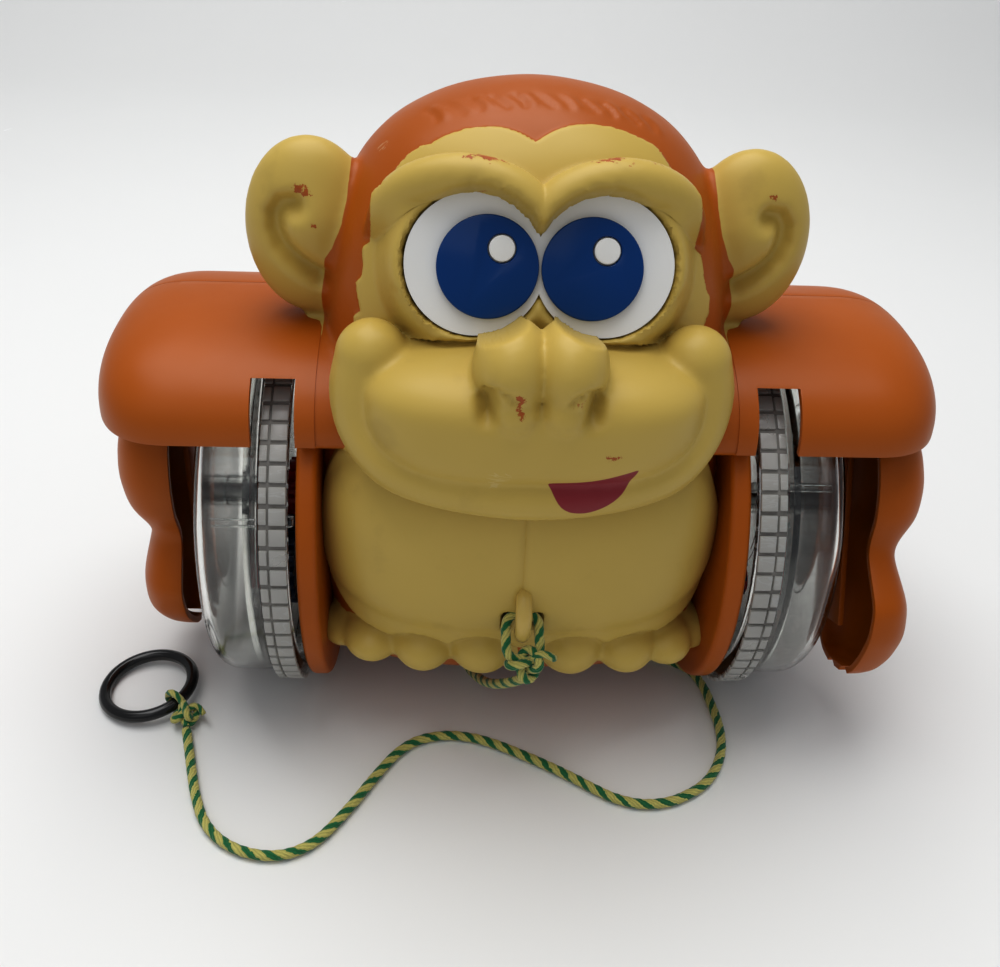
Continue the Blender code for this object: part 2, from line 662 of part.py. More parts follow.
def make_cam(side, tag):
    """Red two-lobed cam that turns with the idler, on its outer face."""
    centre = idler_centre()
    bm = bmesh.new()
    x0, x1 = GEAR_X + GEAR_T + GAP, GEAR_X + GEAR_T + 2.3 * MM
    points = []
    for i in range(32):
        a = 2 * math.pi * i / 32
        radius = (6.2 + 3.4 * math.cos(2 * (a - IDLER_ANGLE))) * MM
        points.append((centre[0] + radius * math.cos(a), centre[1] + radius * math.sin(a)))
    low = [bm.verts.new((side * x0, y, z)) for y, z in points]
    high = [bm.verts.new((side * x1, y, z)) for y, z in points]
    for i in range(32):
        j = (i + 1) % 32
        bm.faces.new((low[i], low[j], high[j], high[i]))
    bm.faces.new(low)
    bm.faces.new(high)
    bmesh.ops.recalc_face_normals(bm, faces=bm.faces)
    cam = add("cam_" + tag, bm, "red")
    cut_all(cam, [rod("cam_bore", side * (x0 - 2 * MM), side * (x1 + 2 * MM), STUD_R + RUN, centre,
                      segments=16)])
    tidy(cam, "red")


def make_crank(side, tag):
    """Disc on the drum's end with the pin that drives the arm."""
    x0 = DRUM_END + GAP
    angle = math.radians(-90) if side < 0 else math.radians(180)
    disc = turned("crank_" + tag, [(x0, 28.5 * MM), (x0 + 2.5 * MM, 28.5 * MM), (x0 + 2.5 * MM, 6.5 * MM),
                                   (x0, 6.5 * MM)], side, (0, WHEEL_R), "orange", segments=28)
    at = (CRANK_THROW * math.cos(angle), WHEEL_R + CRANK_THROW * math.sin(angle))
    pin = rod("crank_pin", side * (x0 + 1 * MM), side * (ARM_EDGE - 0.8 * MM), 3 * MM, at, segments=16)
    union_all(disc, [pin])
    tidy(disc, "orange")


# ---------------------------------------------------------------- arms

# height below the pivot, front reach, rear reach, bulge outwards, in mm
ARM_LOWEST = 14.5 * MM    # hanging hand above the floor
ARM_STRETCH = (ARM_PIVOT_Z - ARM_LOWEST) / (97.5 * MM)
# Rows of drop below the pivot, reach to the front, reach to the rear and bulge, in mm
ARM_SECTIONS = [
    (-5.5, 4, 4, 6.5), (-3, 8, 8, 8.5), (3, 11, 11, 10.5), (9, 13, 13, 11.5), (14, 16, 15, 13.0),
    (20, 20, 17, 16.0), (26, 23, 19, 18.5), (36, 25, 20, 19.5), (46, 24, 19, 18.0), (53, 20, 17, 13.5),
    (57, 19, 17, 11.5),
    (62, 22, 18, 12.8),
    (72, 28, 20, 15.5), (82, 25, 20, 16.0), (90, 18, 19, 14.0), (95, 12, 15, 11.0), (97.5, 6, 8, 6.5),
]


def arm_surface(inset):
    """Rings of the arm's half-open channel, top to bottom, in the hanging position."""
    rings = []
    for i, (drop, front, rear, bulge) in enumerate(ARM_SECTIONS):
        ring = []
        shift = inset if i == 0 else (-inset if i == len(ARM_SECTIONS) - 1 else 0)
        for k in range(ARM_SIDES + 1):
            a = math.pi * k / ARM_SIDES
            reach = (front if a < math.pi / 2 else rear) * MM - inset
            y = -math.copysign(abs(math.cos(a)) ** 0.8, math.cos(a)) * max(reach, 0.5 * MM)
            x = ARM_EDGE + abs(math.sin(a)) ** 0.7 * max(bulge * MM - inset, 0.5 * MM)
            ring.append((x, y, ARM_PIVOT_Z - drop * ARM_STRETCH * MM - shift))
        rings.append(ring)
    return rings


def channel(name, inset, edge_shift):
    """Closed solid between the arm's outer surface and its flat edge plane."""
    rings = []
    for ring in arm_surface(inset):
        closed = list(ring)
        last, first = ring[-1], ring[0]
        closed.append((ARM_EDGE - edge_shift, last[1], last[2]))
        closed.append((ARM_EDGE - edge_shift, first[1], first[2]))
        rings.append(closed)
    return loft(name, rings)


def make_arms():
    """Hollow arms that hang from a pin in each shoulder."""
    for side, tag in ((-1, "left"), (1, "right")):
        arm = channel("arm_" + tag, 0, 0.001 * MM)
        hollow = channel("arm_hollow", ARM_WALL, 5 * MM)
        hub = rod("hub_keep", ARM_EDGE - 10 * MM, ARM_EDGE + 30 * MM, ARM_HUB_R, (0, ARM_PIVOT_Z),
                  segments=20)
        web = box("web_keep", (ARM_EDGE - 0.1 * MM, 2 * MM, ARM_PIVOT_Z - 84 * ARM_STRETCH * MM),
                  (ARM_EDGE + 2 * MM, 40 * MM, ARM_PIVOT_Z - 8 * MM))
        cut_all(hollow, [hub, web])
        cut_all(arm, [hollow])
        cut_all(arm, [rod("hub_bore", ARM_EDGE - 10 * MM, ARM_EDGE + 30 * MM, ARM_PIN_R + RUN,
                          (0, ARM_PIVOT_Z), segments=20)])
        bm = bmesh.new()
        bm.from_mesh(arm.data)
        swing = (Matrix.Translation((0, 0, ARM_PIVOT_Z))
                 @ Matrix.Rotation(-math.radians(ARM_REST_DEG[side]), 4, "X")
                 @ Matrix.Translation((0, 0, -ARM_PIVOT_Z)))
        bmesh.ops.transform(bm, matrix=swing, verts=bm.verts)
        if side < 0:
            bmesh.ops.transform(bm, matrix=Matrix.Diagonal((-1, 1, 1, 1)), verts=bm.verts)
            bmesh.ops.reverse_faces(bm, faces=bm.faces)
        bpy.data.objects.remove(arm, do_unlink=True)
        arm = add("arm_" + tag, bm, "orange")
        tidy(arm, "orange")
        head = ARM_EDGE + 11.6 * MM
        foot = DRUM_END + 3.2 * MM
        section = [(foot, ARM_PIN_R), (head, ARM_PIN_R), (head, 2.9 * MM), (head + 0.8 * MM, 2.5 * MM),
                   (head + 0.8 * MM, 0.5 * MM), (foot, 0.5 * MM)]
        turned("arm_pin_" + tag, section, side, (0, ARM_PIVOT_Z), "steel", segments=20)


# ---------------------------------------------------------------- roller, screws, cord

def make_small_parts():
    """Rear roller with its pin, and the four body screws."""
    turned("rear_roller", [(-ROLLER_W / 2, ROLLER_R - 1 * MM), (-ROLLER_W / 2 + 1 * MM, ROLLER_R),
                           (ROLLER_W / 2 - 1 * MM, ROLLER_R), (ROLLER_W / 2, ROLLER_R - 1 * MM),
                           (ROLLER_W / 2, ROLLER_PIN_R + RUN), (-ROLLER_W / 2, ROLLER_PIN_R + RUN)],
           1, (ROLLER_Y, ROLLER_R), "black", segments=36)
    rod("roller_pin", -12.5 * MM, 12.5 * MM, ROLLER_PIN_R, (ROLLER_Y, ROLLER_R), "steel", segments=16)
    for i, (x, z) in enumerate(SCREWS):
        head = PART_Y + 12 * MM + 0.3 * MM
        shank = post("body_screw_%d" % (i + 1), PART_Y - 12 * MM, head + 0.5 * MM, SCREW_R, x * MM, z * MM,
                     "steel")
        cap = post("screw_head", head, head + 1.8 * MM, 2.6 * MM, x * MM, z * MM)
        union_all(shank, [cap])
        tidy(shank, "steel")


def make_cord():
    """Cord tied to the belly eyelet, its two knots and the ring."""
    route = [Vector(p) * MM for p in CORD_ROUTE]
    tube("pull_cord", smooth_points(route, 9.2 * MM), CORD_D / 2, "cord")

    strand = [(1.8, -69.5, 49.5), (-3.6, -69.2, 53.2), (-4.7, -66.0, 58), (-4.0, -62.6, 61.2),
              (0, -61.2, 62.2),
              (4.0, -62.6, 61.2), (4.7, -66.0, 58), (4.4, -69.2, 53.2), (1.8, -69.5, 49.5)]
    loop = curve_to_mesh(tube("eyelet_knot", smooth_points([Vector(p) * MM for p in strand[1:-1]], 2.6 * MM),
                              CORD_D / 2 - 0.1 * MM, "cord", resolution=1))
    knot = ball("knot", Vector((0.6, -70.0, 52.0)) * MM, (5.6 * MM, 3.0 * MM, 4.8 * MM), segments=14, rings=9)
    union_all(loop, [knot])
    tidy(loop, "cord")

    centre = Vector((RING_C[0] * MM, RING_C[1] * MM, 0))
    mid = (RING_OD - RING_WIRE) / 2
    lift = RING_WIRE / 2 + mid * math.sin(RING_TILT)
    points = []
    for k in range(26):
        a = 2 * math.pi * k / 26
        p = Vector((mid * math.cos(a), mid * math.sin(a), 0))
        p = Matrix.Rotation(-RING_TILT, 3, "Y") @ p
        points.append(centre + p + Vector((0, 0, lift)))
    tube("pull_ring", points, RING_WIRE / 2, "black", cyclic=True)

    around = []
    heading = math.radians(-38)
    at = Vector((mid * math.cos(heading), mid * math.sin(heading), 0))
    at = centre + Matrix.Rotation(-RING_TILT, 3, "Y") @ at + Vector((0, 0, lift))
    outward = Vector((math.cos(heading), math.sin(heading), 0))
    hoop = RING_WIRE / 2 + GAP + 1.2 * MM
    for k in range(12):
        a = 2 * math.pi * k / 12
        around.append(at + outward * hoop * math.cos(a) + Vector((0, 0, hoop * math.sin(a))))
    wrap = curve_to_mesh(tube("ring_knot", around, 1.1 * MM, "cord", cyclic=True, resolution=1))
    end = Vector(CORD_ROUTE[-1]) * MM
    lump = ball("lump", end + Vector((-0.9, 4.2, 1.6)) * MM, (3.6 * MM, 3.4 * MM, 3.0 * MM),
                segments=14, rings=9)
    neck = ball("neck", at + outward * (hoop + 1.6 * MM) + Vector((0.2, 0.2, -0.6)) * MM,
                (2.6 * MM, 2.2 * MM, 2.2 * MM), segments=12, rings=8)
    union_all(wrap, [neck, lump])
    tidy(wrap, "cord")


make_shells()
make_eyes()
make_wheels()
make_arms()
make_small_parts()
make_cord()

for obj in bpy.data.objects:
    obj.location.y += AXLE_Y
bpy.context.view_layer.update()
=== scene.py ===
# %% [markdown]
# The toy is a hollow plastic monkey on two clear drum wheels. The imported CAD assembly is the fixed
# frame: it gives every place and every moving body. The detailed pieces below are modelled around it.

# %% Load the frame
import math
from contextlib import contextmanager

import bpy
import numpy as np
from mathutils import Matrix, Vector


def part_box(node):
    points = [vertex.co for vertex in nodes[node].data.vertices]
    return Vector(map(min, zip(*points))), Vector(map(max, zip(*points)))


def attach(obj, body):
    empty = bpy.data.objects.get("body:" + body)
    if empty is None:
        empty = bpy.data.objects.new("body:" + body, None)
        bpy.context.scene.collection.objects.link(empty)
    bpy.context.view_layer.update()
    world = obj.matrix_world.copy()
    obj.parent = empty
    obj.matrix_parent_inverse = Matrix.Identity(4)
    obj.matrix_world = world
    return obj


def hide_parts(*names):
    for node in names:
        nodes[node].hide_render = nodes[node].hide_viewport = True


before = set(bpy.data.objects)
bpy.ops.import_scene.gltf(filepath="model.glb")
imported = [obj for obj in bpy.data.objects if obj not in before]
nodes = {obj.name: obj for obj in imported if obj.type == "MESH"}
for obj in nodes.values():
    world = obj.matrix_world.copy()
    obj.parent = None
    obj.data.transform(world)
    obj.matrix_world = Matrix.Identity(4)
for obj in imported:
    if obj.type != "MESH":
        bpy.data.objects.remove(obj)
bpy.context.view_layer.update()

# %% [markdown]
# All sizes below are in millimetres from the wheel axle line, because that is how the toy was
# measured. One helper turns such a place into a place in the frame.

# %% Places and small helpers
MM = 0.001
WHEEL_R = 60.0             # the wheels stand on the floor, so the axle is this high
SIDES = ((-1, "left"), (1, "right"))
axle_low, axle_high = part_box("main_axle")
AXLE_Y = (axle_low.y + axle_high.y) / 2


def at(x, y, z):
    """A place in millimetres from the axle line, as a place in the frame."""
    return Vector((x * MM, y * MM + AXLE_Y, z * MM))


def only(obj):
    """Select one object and nothing else."""
    bpy.ops.object.select_all(action="DESELECT")
    obj.select_set(True)
    bpy.context.view_layer.objects.active = obj
    return obj


def named(name):
    """Name the object that an operator has just made."""
    obj = bpy.context.object
    obj.name = name
    obj.data.name = name
    return obj


@contextmanager
def edit_mode(obj):
    """Edit mode on one object with everything selected."""
    only(obj)
    bpy.ops.object.mode_set(mode="EDIT")
    bpy.ops.mesh.select_all(action="SELECT")
    yield
    bpy.ops.object.mode_set(mode="OBJECT")


def settle(obj):
    """Put an object's place, turn and size into its mesh."""
    only(obj)
    bpy.ops.object.transform_apply(location=True, rotation=True, scale=True)
    return obj


def shape_with(obj, kind, **settings):
    """Add one modifier and apply it."""
    only(obj)
    mod = obj.modifiers.new(kind.lower(), kind)
    for key, value in settings.items():
        setattr(mod, key, value)
    bpy.ops.object.modifier_apply(modifier=mod.name)
    return obj


def joined(name, pieces):
    """Join pieces into one mesh."""
    only(pieces[0])
    for piece in pieces:
        piece.select_set(True)
    bpy.ops.object.join()
    return named(name)


def smooth(obj, angle=35):
    """Smooth shading that keeps corners sharper than the angle."""
    only(obj)
    bpy.ops.object.shade_smooth_by_angle(angle=math.radians(angle))
    return obj


def weld(obj, reach=0.01 * MM):
    """Merge doubled points and turn all faces outwards."""
    with edit_mode(obj):
        bpy.ops.mesh.remove_doubles(threshold=reach)
        bpy.ops.mesh.normals_make_consistent(inside=False)
    return obj


def cut(obj, tool):
    """Cut a closed tool out of a piece and delete the tool."""
    shape_with(obj, "BOOLEAN", operation="DIFFERENCE", solver="EXACT", object=tool)
    bpy.data.objects.remove(tool, do_unlink=True)
    return obj


def block(name, low, high):
    """A box between two corners in millimetres from the axle line."""
    bpy.ops.object.select_all(action="DESELECT")
    middle = [(a + b) / 2 for a, b in zip(low, high)]
    bpy.ops.mesh.primitive_cube_add(size=MM, location=at(*middle))
    obj = named(name)
    obj.scale = [abs(b - a) for a, b in zip(low, high)]
    return settle(obj)


def disc(name, x0, x1, radius, y=0.0, z=WHEEL_R, segments=64):
    """A cylinder along X between x0 and x1."""
    bpy.ops.object.select_all(action="DESELECT")
    bpy.ops.mesh.primitive_cylinder_add(vertices=segments, radius=radius * MM, depth=abs(x1 - x0) * MM,
                                        location=at((x0 + x1) / 2, y, z), rotation=(0, math.pi / 2, 0))
    return settle(named(name))


def peg(name, y0, y1, radius, x, z, segments=24):
    """A cylinder along Y between y0 and y1."""
    bpy.ops.object.select_all(action="DESELECT")
    bpy.ops.mesh.primitive_cylinder_add(vertices=segments, radius=radius * MM, depth=abs(y1 - y0) * MM,
                                        location=at(x, (y0 + y1) / 2, z), rotation=(math.pi / 2, 0, 0))
    return settle(named(name))


def ball(name, centre, radii, segments=48):
    """An ellipsoid."""
    bpy.ops.object.select_all(action="DESELECT")
    bpy.ops.mesh.primitive_uv_sphere_add(segments=segments, ring_count=segments // 2, radius=MM,
                                         location=at(*centre))
    obj = named(name)
    obj.scale = radii
    return settle(obj)


def places(obj):
    """Vertex places in millimetres from the axle line, as an array."""
    co = np.zeros(len(obj.data.vertices) * 3)
    obj.data.vertices.foreach_get("co", co)
    return (co.reshape(-1, 3) - np.array([0, AXLE_Y, 0])) / MM


def put_places(obj, co):
    """Write vertex places back."""
    obj.data.vertices.foreach_set("co", (co * MM + np.array([0, AXLE_Y, 0])).ravel())
    obj.data.update()


def normals(obj):
    """Vertex normals as an array."""
    out = np.zeros(len(obj.data.vertices) * 3)
    obj.data.vertices.foreach_get("normal", out)
    return out.reshape(-1, 3)


def turned_about(co, radians, height):
    """Places turned about a line along X at a height."""
    out = co.copy()
    c, s = math.cos(radians), math.sin(radians)
    out[:, 1] = co[:, 1] * c - (co[:, 2] - height) * s
    out[:, 2] = height + co[:, 1] * s + (co[:, 2] - height) * c
    return out


def store(obj, name, values):
    """Keep one number for each vertex, for a material to read."""
    layer = obj.data.attributes.new(name, "FLOAT", "POINT")
    layer.data.foreach_set("value", np.asarray(values, np.float32))


def flow(rows, count):
    """A smooth curve of count rows through the given rows, evenly spaced along its length."""
    rows = np.asarray(rows, float)
    ext = np.vstack([2 * rows[0] - rows[1], rows, 2 * rows[-1] - rows[-2]])
    fine = []
    for a, b, c, d in zip(ext, ext[1:], ext[2:], ext[3:]):
        for t in np.linspace(0, 1, 24, endpoint=False):
            fine.append(0.5 * (2 * b + (c - a) * t + (2 * a - 5 * b + 4 * c - d) * t * t
                               + (3 * b - a - 3 * c + d) * t ** 3))
    fine.append(rows[-1])
    fine = np.array(fine)
    walked = np.concatenate([[0], np.cumsum(np.linalg.norm(np.diff(fine[:, :3], axis=0), axis=1))])
    steps = np.linspace(0, walked[-1], count)
    return np.stack([np.interp(steps, walked, fine[:, i]) for i in range(fine.shape[1])], axis=1)


def mesh_from(name, points, faces):
    """A mesh object from points in millimetres from the axle line."""
    mesh = bpy.data.meshes.new(name)
    mesh.from_pydata([at(*p) for p in points], [], faces)
    mesh.update()
    obj = bpy.data.objects.new(name, mesh)
    bpy.context.scene.collection.objects.link(obj)
    return obj


print("axle line at y =", round(AXLE_Y / MM, 2), "mm")

# %% [markdown]
# The camera looks down on the toy from a little left of centre, as someone would who takes it from
# a shelf. Its lens is a normal one, so the near face looks only slightly larger.

# %% Camera
bpy.ops.object.select_all(action="DESELECT")
bpy.ops.object.camera_add()
camera = named("camera")
side = Vector((0.99896, -0.0338, 0.0418)).normalized()
ahead = Vector((0.052, 0.823, -0.566)).normalized()
side = (side - ahead * side.dot(ahead)).normalized()
above = side.cross(ahead)
turn = Matrix((side, above, -ahead)).transposed().to_4x4()
camera.matrix_world = Matrix.Translation((-0.0230, -0.2938, 0.2674)) @ turn
camera.data.lens = 39.55
camera.data.sensor_width = 36
camera.data.clip_start = 0.01
bpy.context.scene.camera = camera

# %% [markdown]
# The toy stands on a pale sheet that curves up behind it, lit by one large soft lamp high up behind
# the head, a weak one in front and a bright room all round. A sheet with a curved corner has no
# horizon line.

# %% Floor sheet and lamps
bpy.ops.object.select_all(action="DESELECT")
bpy.ops.mesh.primitive_plane_add(size=2.4, location=(0, 0.0, -0.0002))
floor = named("floor_sheet")
settle(floor)
bpy.ops.object.mode_set(mode="EDIT")
bpy.ops.mesh.select_all(action="DESELECT")
bpy.ops.mesh.select_mode(type="EDGE")
bpy.ops.object.mode_set(mode="OBJECT")
for edge in floor.data.edges:
    edge.select = all(floor.data.vertices[v].co.y > 1.1 for v in edge.vertices)
bpy.ops.object.mode_set(mode="EDIT")
bpy.ops.mesh.extrude_region_move(TRANSFORM_OT_translate={"value": (0, 0.1, 1.6)})
bpy.ops.object.mode_set(mode="OBJECT")
shape_with(floor, "BEVEL", width=0.5, segments=16, angle_limit=math.radians(30))
smooth(floor, 60)


def lamp(name, place, target, size, power, colour=(1, 1, 1)):
    """A soft square lamp that faces a target."""
    bpy.ops.object.select_all(action="DESELECT")
    bpy.ops.object.light_add(type="AREA", location=place)
    obj = named(name)
    obj.data.size = size
    obj.data.energy = power
    obj.data.color = colour
    obj.rotation_euler = (Vector(target) - Vector(place)).to_track_quat("-Z", "Y").to_euler()
    return obj


lamp("top_lamp", (-0.10, 0.16, 1.15), (0, 0, 0.1), 1.0, 12.2)
lamp("front_lamp", (-0.35, -0.75, 1.1), (0, 0, 0.08), 1.0, 1.8)
room = bpy.data.worlds.new("bright_room")
room.use_nodes = True
room.node_tree.nodes["Background"].inputs["Color"].default_value = (0.93, 0.95, 1, 1)
room.node_tree.nodes["Background"].inputs["Strength"].default_value = 0.44
bpy.context.scene.world = room
bpy.context.scene.view_settings.view_transform = "Standard"
bpy.context.scene.view_settings.gamma = 0.80

# %% [markdown]
# Every plastic on the toy shares two effects, a fine uneven gloss and short hairline scratches, so
# each is a node group that a material places with its own values. The groups put out only numbers.

# %% Shared surface effects


def node_maker(tree):
    """A short way to add a node with its inputs set or linked."""
    def make(kind, inputs=None, **settings):
        node = tree.nodes.new(kind)
        for key, value in settings.items():
            setattr(node, key, value)
        for key, value in (inputs or {}).items():
            if isinstance(value, bpy.types.NodeSocket):
                tree.links.new(value, node.inputs[key])
            else:
                node.inputs[key].default_value = value
        return node
    return make


def mix_colours(tree, factor, a, b, blend="MIX"):
    """The colour output of a Mix node between two colours, each a value or a socket."""
    node = tree.nodes.new("ShaderNodeMix")
    node.data_type = "RGBA"
    node.blend_type = blend
    for key, value in ((0, factor), (6, a), (7, b)):
        if isinstance(value, bpy.types.NodeSocket):
            tree.links.new(value, node.inputs[key])
        else:
            node.inputs[key].default_value = value
    return node.outputs[2]


def effect_group(name, inputs, outputs):
    """An empty node group with named number inputs and outputs."""
    tree = bpy.data.node_groups.new(name, "ShaderNodeTree")
    for label, value in inputs.items():
        tree.interface.new_socket(label, in_out="INPUT", socket_type="NodeSocketFloat").default_value = value
    for label in outputs:
        tree.interface.new_socket(label, in_out="OUTPUT", socket_type="NodeSocketFloat")
    make = node_maker(tree)
    return tree, make, make("NodeGroupInput"), make("NodeGroupOutput")


GLOSS, make, given, out = effect_group("uneven_gloss", {"Base": 0.3, "Spread": 0.1, "Scale": 60.0},
                                       ["Roughness", "Grain"])
where = make("ShaderNodeTexCoord").outputs["Object"]
cloud = make("ShaderNodeTexNoise", {"Vector": where, "Scale": given.outputs["Scale"], "Detail": 4.0})
spread = make("ShaderNodeMath", {0: cloud.outputs["Fac"], 1: 0.5}, operation="SUBTRACT")
scaled = make("ShaderNodeMath", {0: spread.outputs[0], 1: given.outputs["Spread"], 2: given.outputs["Base"]},
              operation="MULTIPLY_ADD")
grain = make("ShaderNodeTexNoise", {"Vector": where, "Scale": 900.0, "Detail": 2.0})
GLOSS.links.new(scaled.outputs[0], out.inputs["Roughness"])
GLOSS.links.new(grain.outputs["Fac"], out.inputs["Grain"])

SCRATCH, make, given, out = effect_group("hairline_scratches", {"Amount": 0.3, "Scale": 40.0}, ["Mask"])
where = make("ShaderNodeTexCoord").outputs["Object"]
masks = []
for index, heading in enumerate((0.4, 1.9)):
    turned = make("ShaderNodeMapping", {"Vector": where, "Rotation": (0.3 * index, 0.5, heading),
                                        "Scale": (1.0, 9.0, 1.0)})
    lines = make("ShaderNodeTexNoise", {"Vector": turned.outputs[0], "Scale": given.outputs["Scale"],
                                        "Detail": 3.0, "Roughness": 0.7})
    line = make("ShaderNodeMath", {0: lines.outputs["Fac"], 1: 0.5, 2: 0.012}, operation="COMPARE")
    masks.append(line.outputs[0])
both = make("ShaderNodeMath", {0: masks[0], 1: masks[1]}, operation="MAXIMUM")
patch = make("ShaderNodeTexNoise", {"Vector": where, "Scale": 35.0, "Detail": 2.0})
limit = make("ShaderNodeMath", {0: 0.78, 1: given.outputs["Amount"]}, operation="SUBTRACT")
near = make("ShaderNodeMath", {0: patch.outputs["Fac"], 1: limit.outputs[0]}, operation="GREATER_THAN")
mask = make("ShaderNodeMath", {0: both.outputs[0], 1: near.outputs[0]}, operation="MULTIPLY")
SCRATCH.links.new(mask.outputs[0], out.inputs["Mask"])

# %% [markdown]
# Most pieces are one moulded plastic or one metal. A single maker builds these materials: two
# near shades mixed by a cloud, uneven gloss, hairline scratches and a faint moulded grain.

# %% Plain plastics and metals


def finish(name, dark, light, rough=0.35, spread=0.15, scratch=0.2, mark=None, metal=0.0, grain=0.02,
           clear=0.0, scale=40.0, shine=0.5):
    """A plastic or metal whose shade, gloss and scratches vary over the piece."""
    mat = bpy.data.materials.new(name)
    mat.use_nodes = True
    tree = mat.node_tree
    make = node_maker(tree)
    shader = tree.nodes["Principled BSDF"]
    where = make("ShaderNodeTexCoord").outputs["Object"]
    cloud = make("ShaderNodeTexNoise", {"Vector": where, "Scale": scale, "Detail": 5.0})
    shade = mix_colours(tree, cloud.outputs["Fac"], (*dark, 1), (*light, 1))
    gloss = make("ShaderNodeGroup", node_tree=GLOSS)
    gloss.inputs["Base"].default_value = rough
    gloss.inputs["Spread"].default_value = spread
    lines = make("ShaderNodeGroup", node_tree=SCRATCH)
    lines.inputs["Amount"].default_value = scratch
    marked = mix_colours(tree, lines.outputs["Mask"], shade,
                         (*(mark or [min(1, c * 1.5 + 0.02) for c in light]), 1))
    bump = make("ShaderNodeBump", {"Strength": 0.25, "Distance": grain * MM,
                                   "Height": gloss.outputs["Grain"]})
    tree.links.new(marked, shader.inputs["Base Color"])
    tree.links.new(gloss.outputs["Roughness"], shader.inputs["Roughness"])
    tree.links.new(bump.outputs["Normal"], shader.inputs["Normal"])
    shader.inputs["Metallic"].default_value = metal
    shader.inputs["Transmission Weight"].default_value = clear
    shader.inputs["IOR"].default_value = 1.47
    shader.inputs["Specular IOR Level"].default_value = shine
    return mat


ORANGE_DARK, ORANGE_LIGHT = (0.34, 0.080, 0.003), (0.43, 0.108, 0.006)
orange = finish("orange_plastic", ORANGE_DARK, ORANGE_LIGHT, 0.42, 0.2, 0.02, (0.50, 0.16, 0.04),
                shine=0.25)
white = finish("eye_white", (0.74, 0.74, 0.72), (0.82, 0.82, 0.80), 0.22, 0.1, 0.07, (0.52, 0.52, 0.49))
blue = finish("iris_blue", (0.0004, 0.036, 0.160), (0.0006, 0.046, 0.195), 0.16, 0.1, 0.05,
              (0.02, 0.12, 0.36), shine=0.3)
clear = finish("clear_drum", (0.80, 0.81, 0.79), (0.90, 0.91, 0.89), 0.07, 0.12, 0.28, (0.95, 0.95, 0.93),
               clear=1.0, scale=25)
tread_clear = finish("tread_plastic", (0.62, 0.61, 0.57), (0.86, 0.85, 0.81), 0.3, 0.2, 0.3,
                     (0.8, 0.8, 0.77), clear=0.55, scale=90)
# a dark band under the tread, seen at the bottom of the grooves between the blocks
groove_band_finish = finish("groove_band_dark", (0.03, 0.028, 0.025), (0.34, 0.325, 0.30), 0.6, 0.2, 0.1, scale=120)
red = finish("gear_red", (0.36, 0.008, 0.012), (0.50, 0.014, 0.020), 0.35, 0.2, 0.15)
navy = finish("gear_navy", (0.010, 0.018, 0.045), (0.018, 0.030, 0.075), 0.4, 0.2, 0.15)
steel = finish("worn_steel", (0.30, 0.29, 0.28), (0.52, 0.51, 0.50), 0.32, 0.3, 0.3, (0.7, 0.7, 0.7),
               metal=1.0)
rubber = finish("roller_black", (0.010, 0.010, 0.010), (0.022, 0.021, 0.020), 0.55, 0.2, 0.2,
                (0.06, 0.06, 0.055))
ring_black = finish("ring_black", (0.006, 0.006, 0.006), (0.012, 0.012, 0.012), 0.16, 0.12, 0.10,
                    (0.05, 0.05, 0.045))


def show(piece, body, mat, slot_name, *stands_for):
    """Give a piece its material and its body, and hide the CAD nodes that it stands for. The slot name is not
    used.
    """
    if mat is not None:
        piece.data.materials.clear()
        piece.data.materials.append(mat)
    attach(piece, body)
    if stands_for:
        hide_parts(*stands_for)
    return piece


print("materials", len(bpy.data.materials))
# %% [markdown]
# The pull cord is a thin braid, tied to the loop on the belly and to the ring. It hangs from its
# knot, passes under the toy and lies on the floor in one long wave. Four twisted lobes swept along
# the route give its rope-like edge, and a UV map along the length carries the diagonal stripes.

# %% Cord route and sweep
CORD_D = 3.1
CORD_ROUTE = [
    (3.3, -67.0, 45.2), (0.2, -62.5, 37.2), (-4.7, -54, 27.2), (-8.4, -44, 18), (-11.5, -33, 10.5),
    (-14, -22, 4.6), (-14.5, -13, 1.8), (-9, -5, 1.6), (2, -1.5, 1.6), (18, -4, 1.6), (36, -9, 1.6),
    (53, -15, 1.6), (62.5, -20.5, 1.6), (66.3, -28.5, 1.6), (67.8, -38, 1.6), (68.4, -47, 1.6),
    (67.4, -56, 1.6), (64.2, -64.2, 1.6), (59.2, -70.8, 1.6), (53, -75.2, 1.6), (46.2, -78, 1.6),
    (38.3, -78.6, 1.6), (31, -76.6, 1.6), (24.8, -73, 1.6), (18.3, -68.5, 1.6), (11.2, -64, 1.6),
    (3, -59.3, 1.6), (-5.6, -54.9, 1.6), (-13.6, -52.2, 1.6), (-21.8, -51.6, 1.6), (-29.8, -53.8, 1.6),
    (-35.6, -58.5, 1.6), (-39.8, -64.3, 1.6), (-43.8, -70.8, 1.6), (-48.8, -79.3, 1.6),
    (-56.2, -90, 1.6), (-62.9, -95.2, 1.6), (-70.2, -96.8, 1.6), (-78.2, -95.3, 1.6),
    (-85.4, -91.2, 1.6), (-91, -84.8, 1.6), (-95, -76, 1.6), (-97.7, -67.6, 1.6),
    (-100.5, -58, 1.6), (-103, -49.5, 1.6),
]


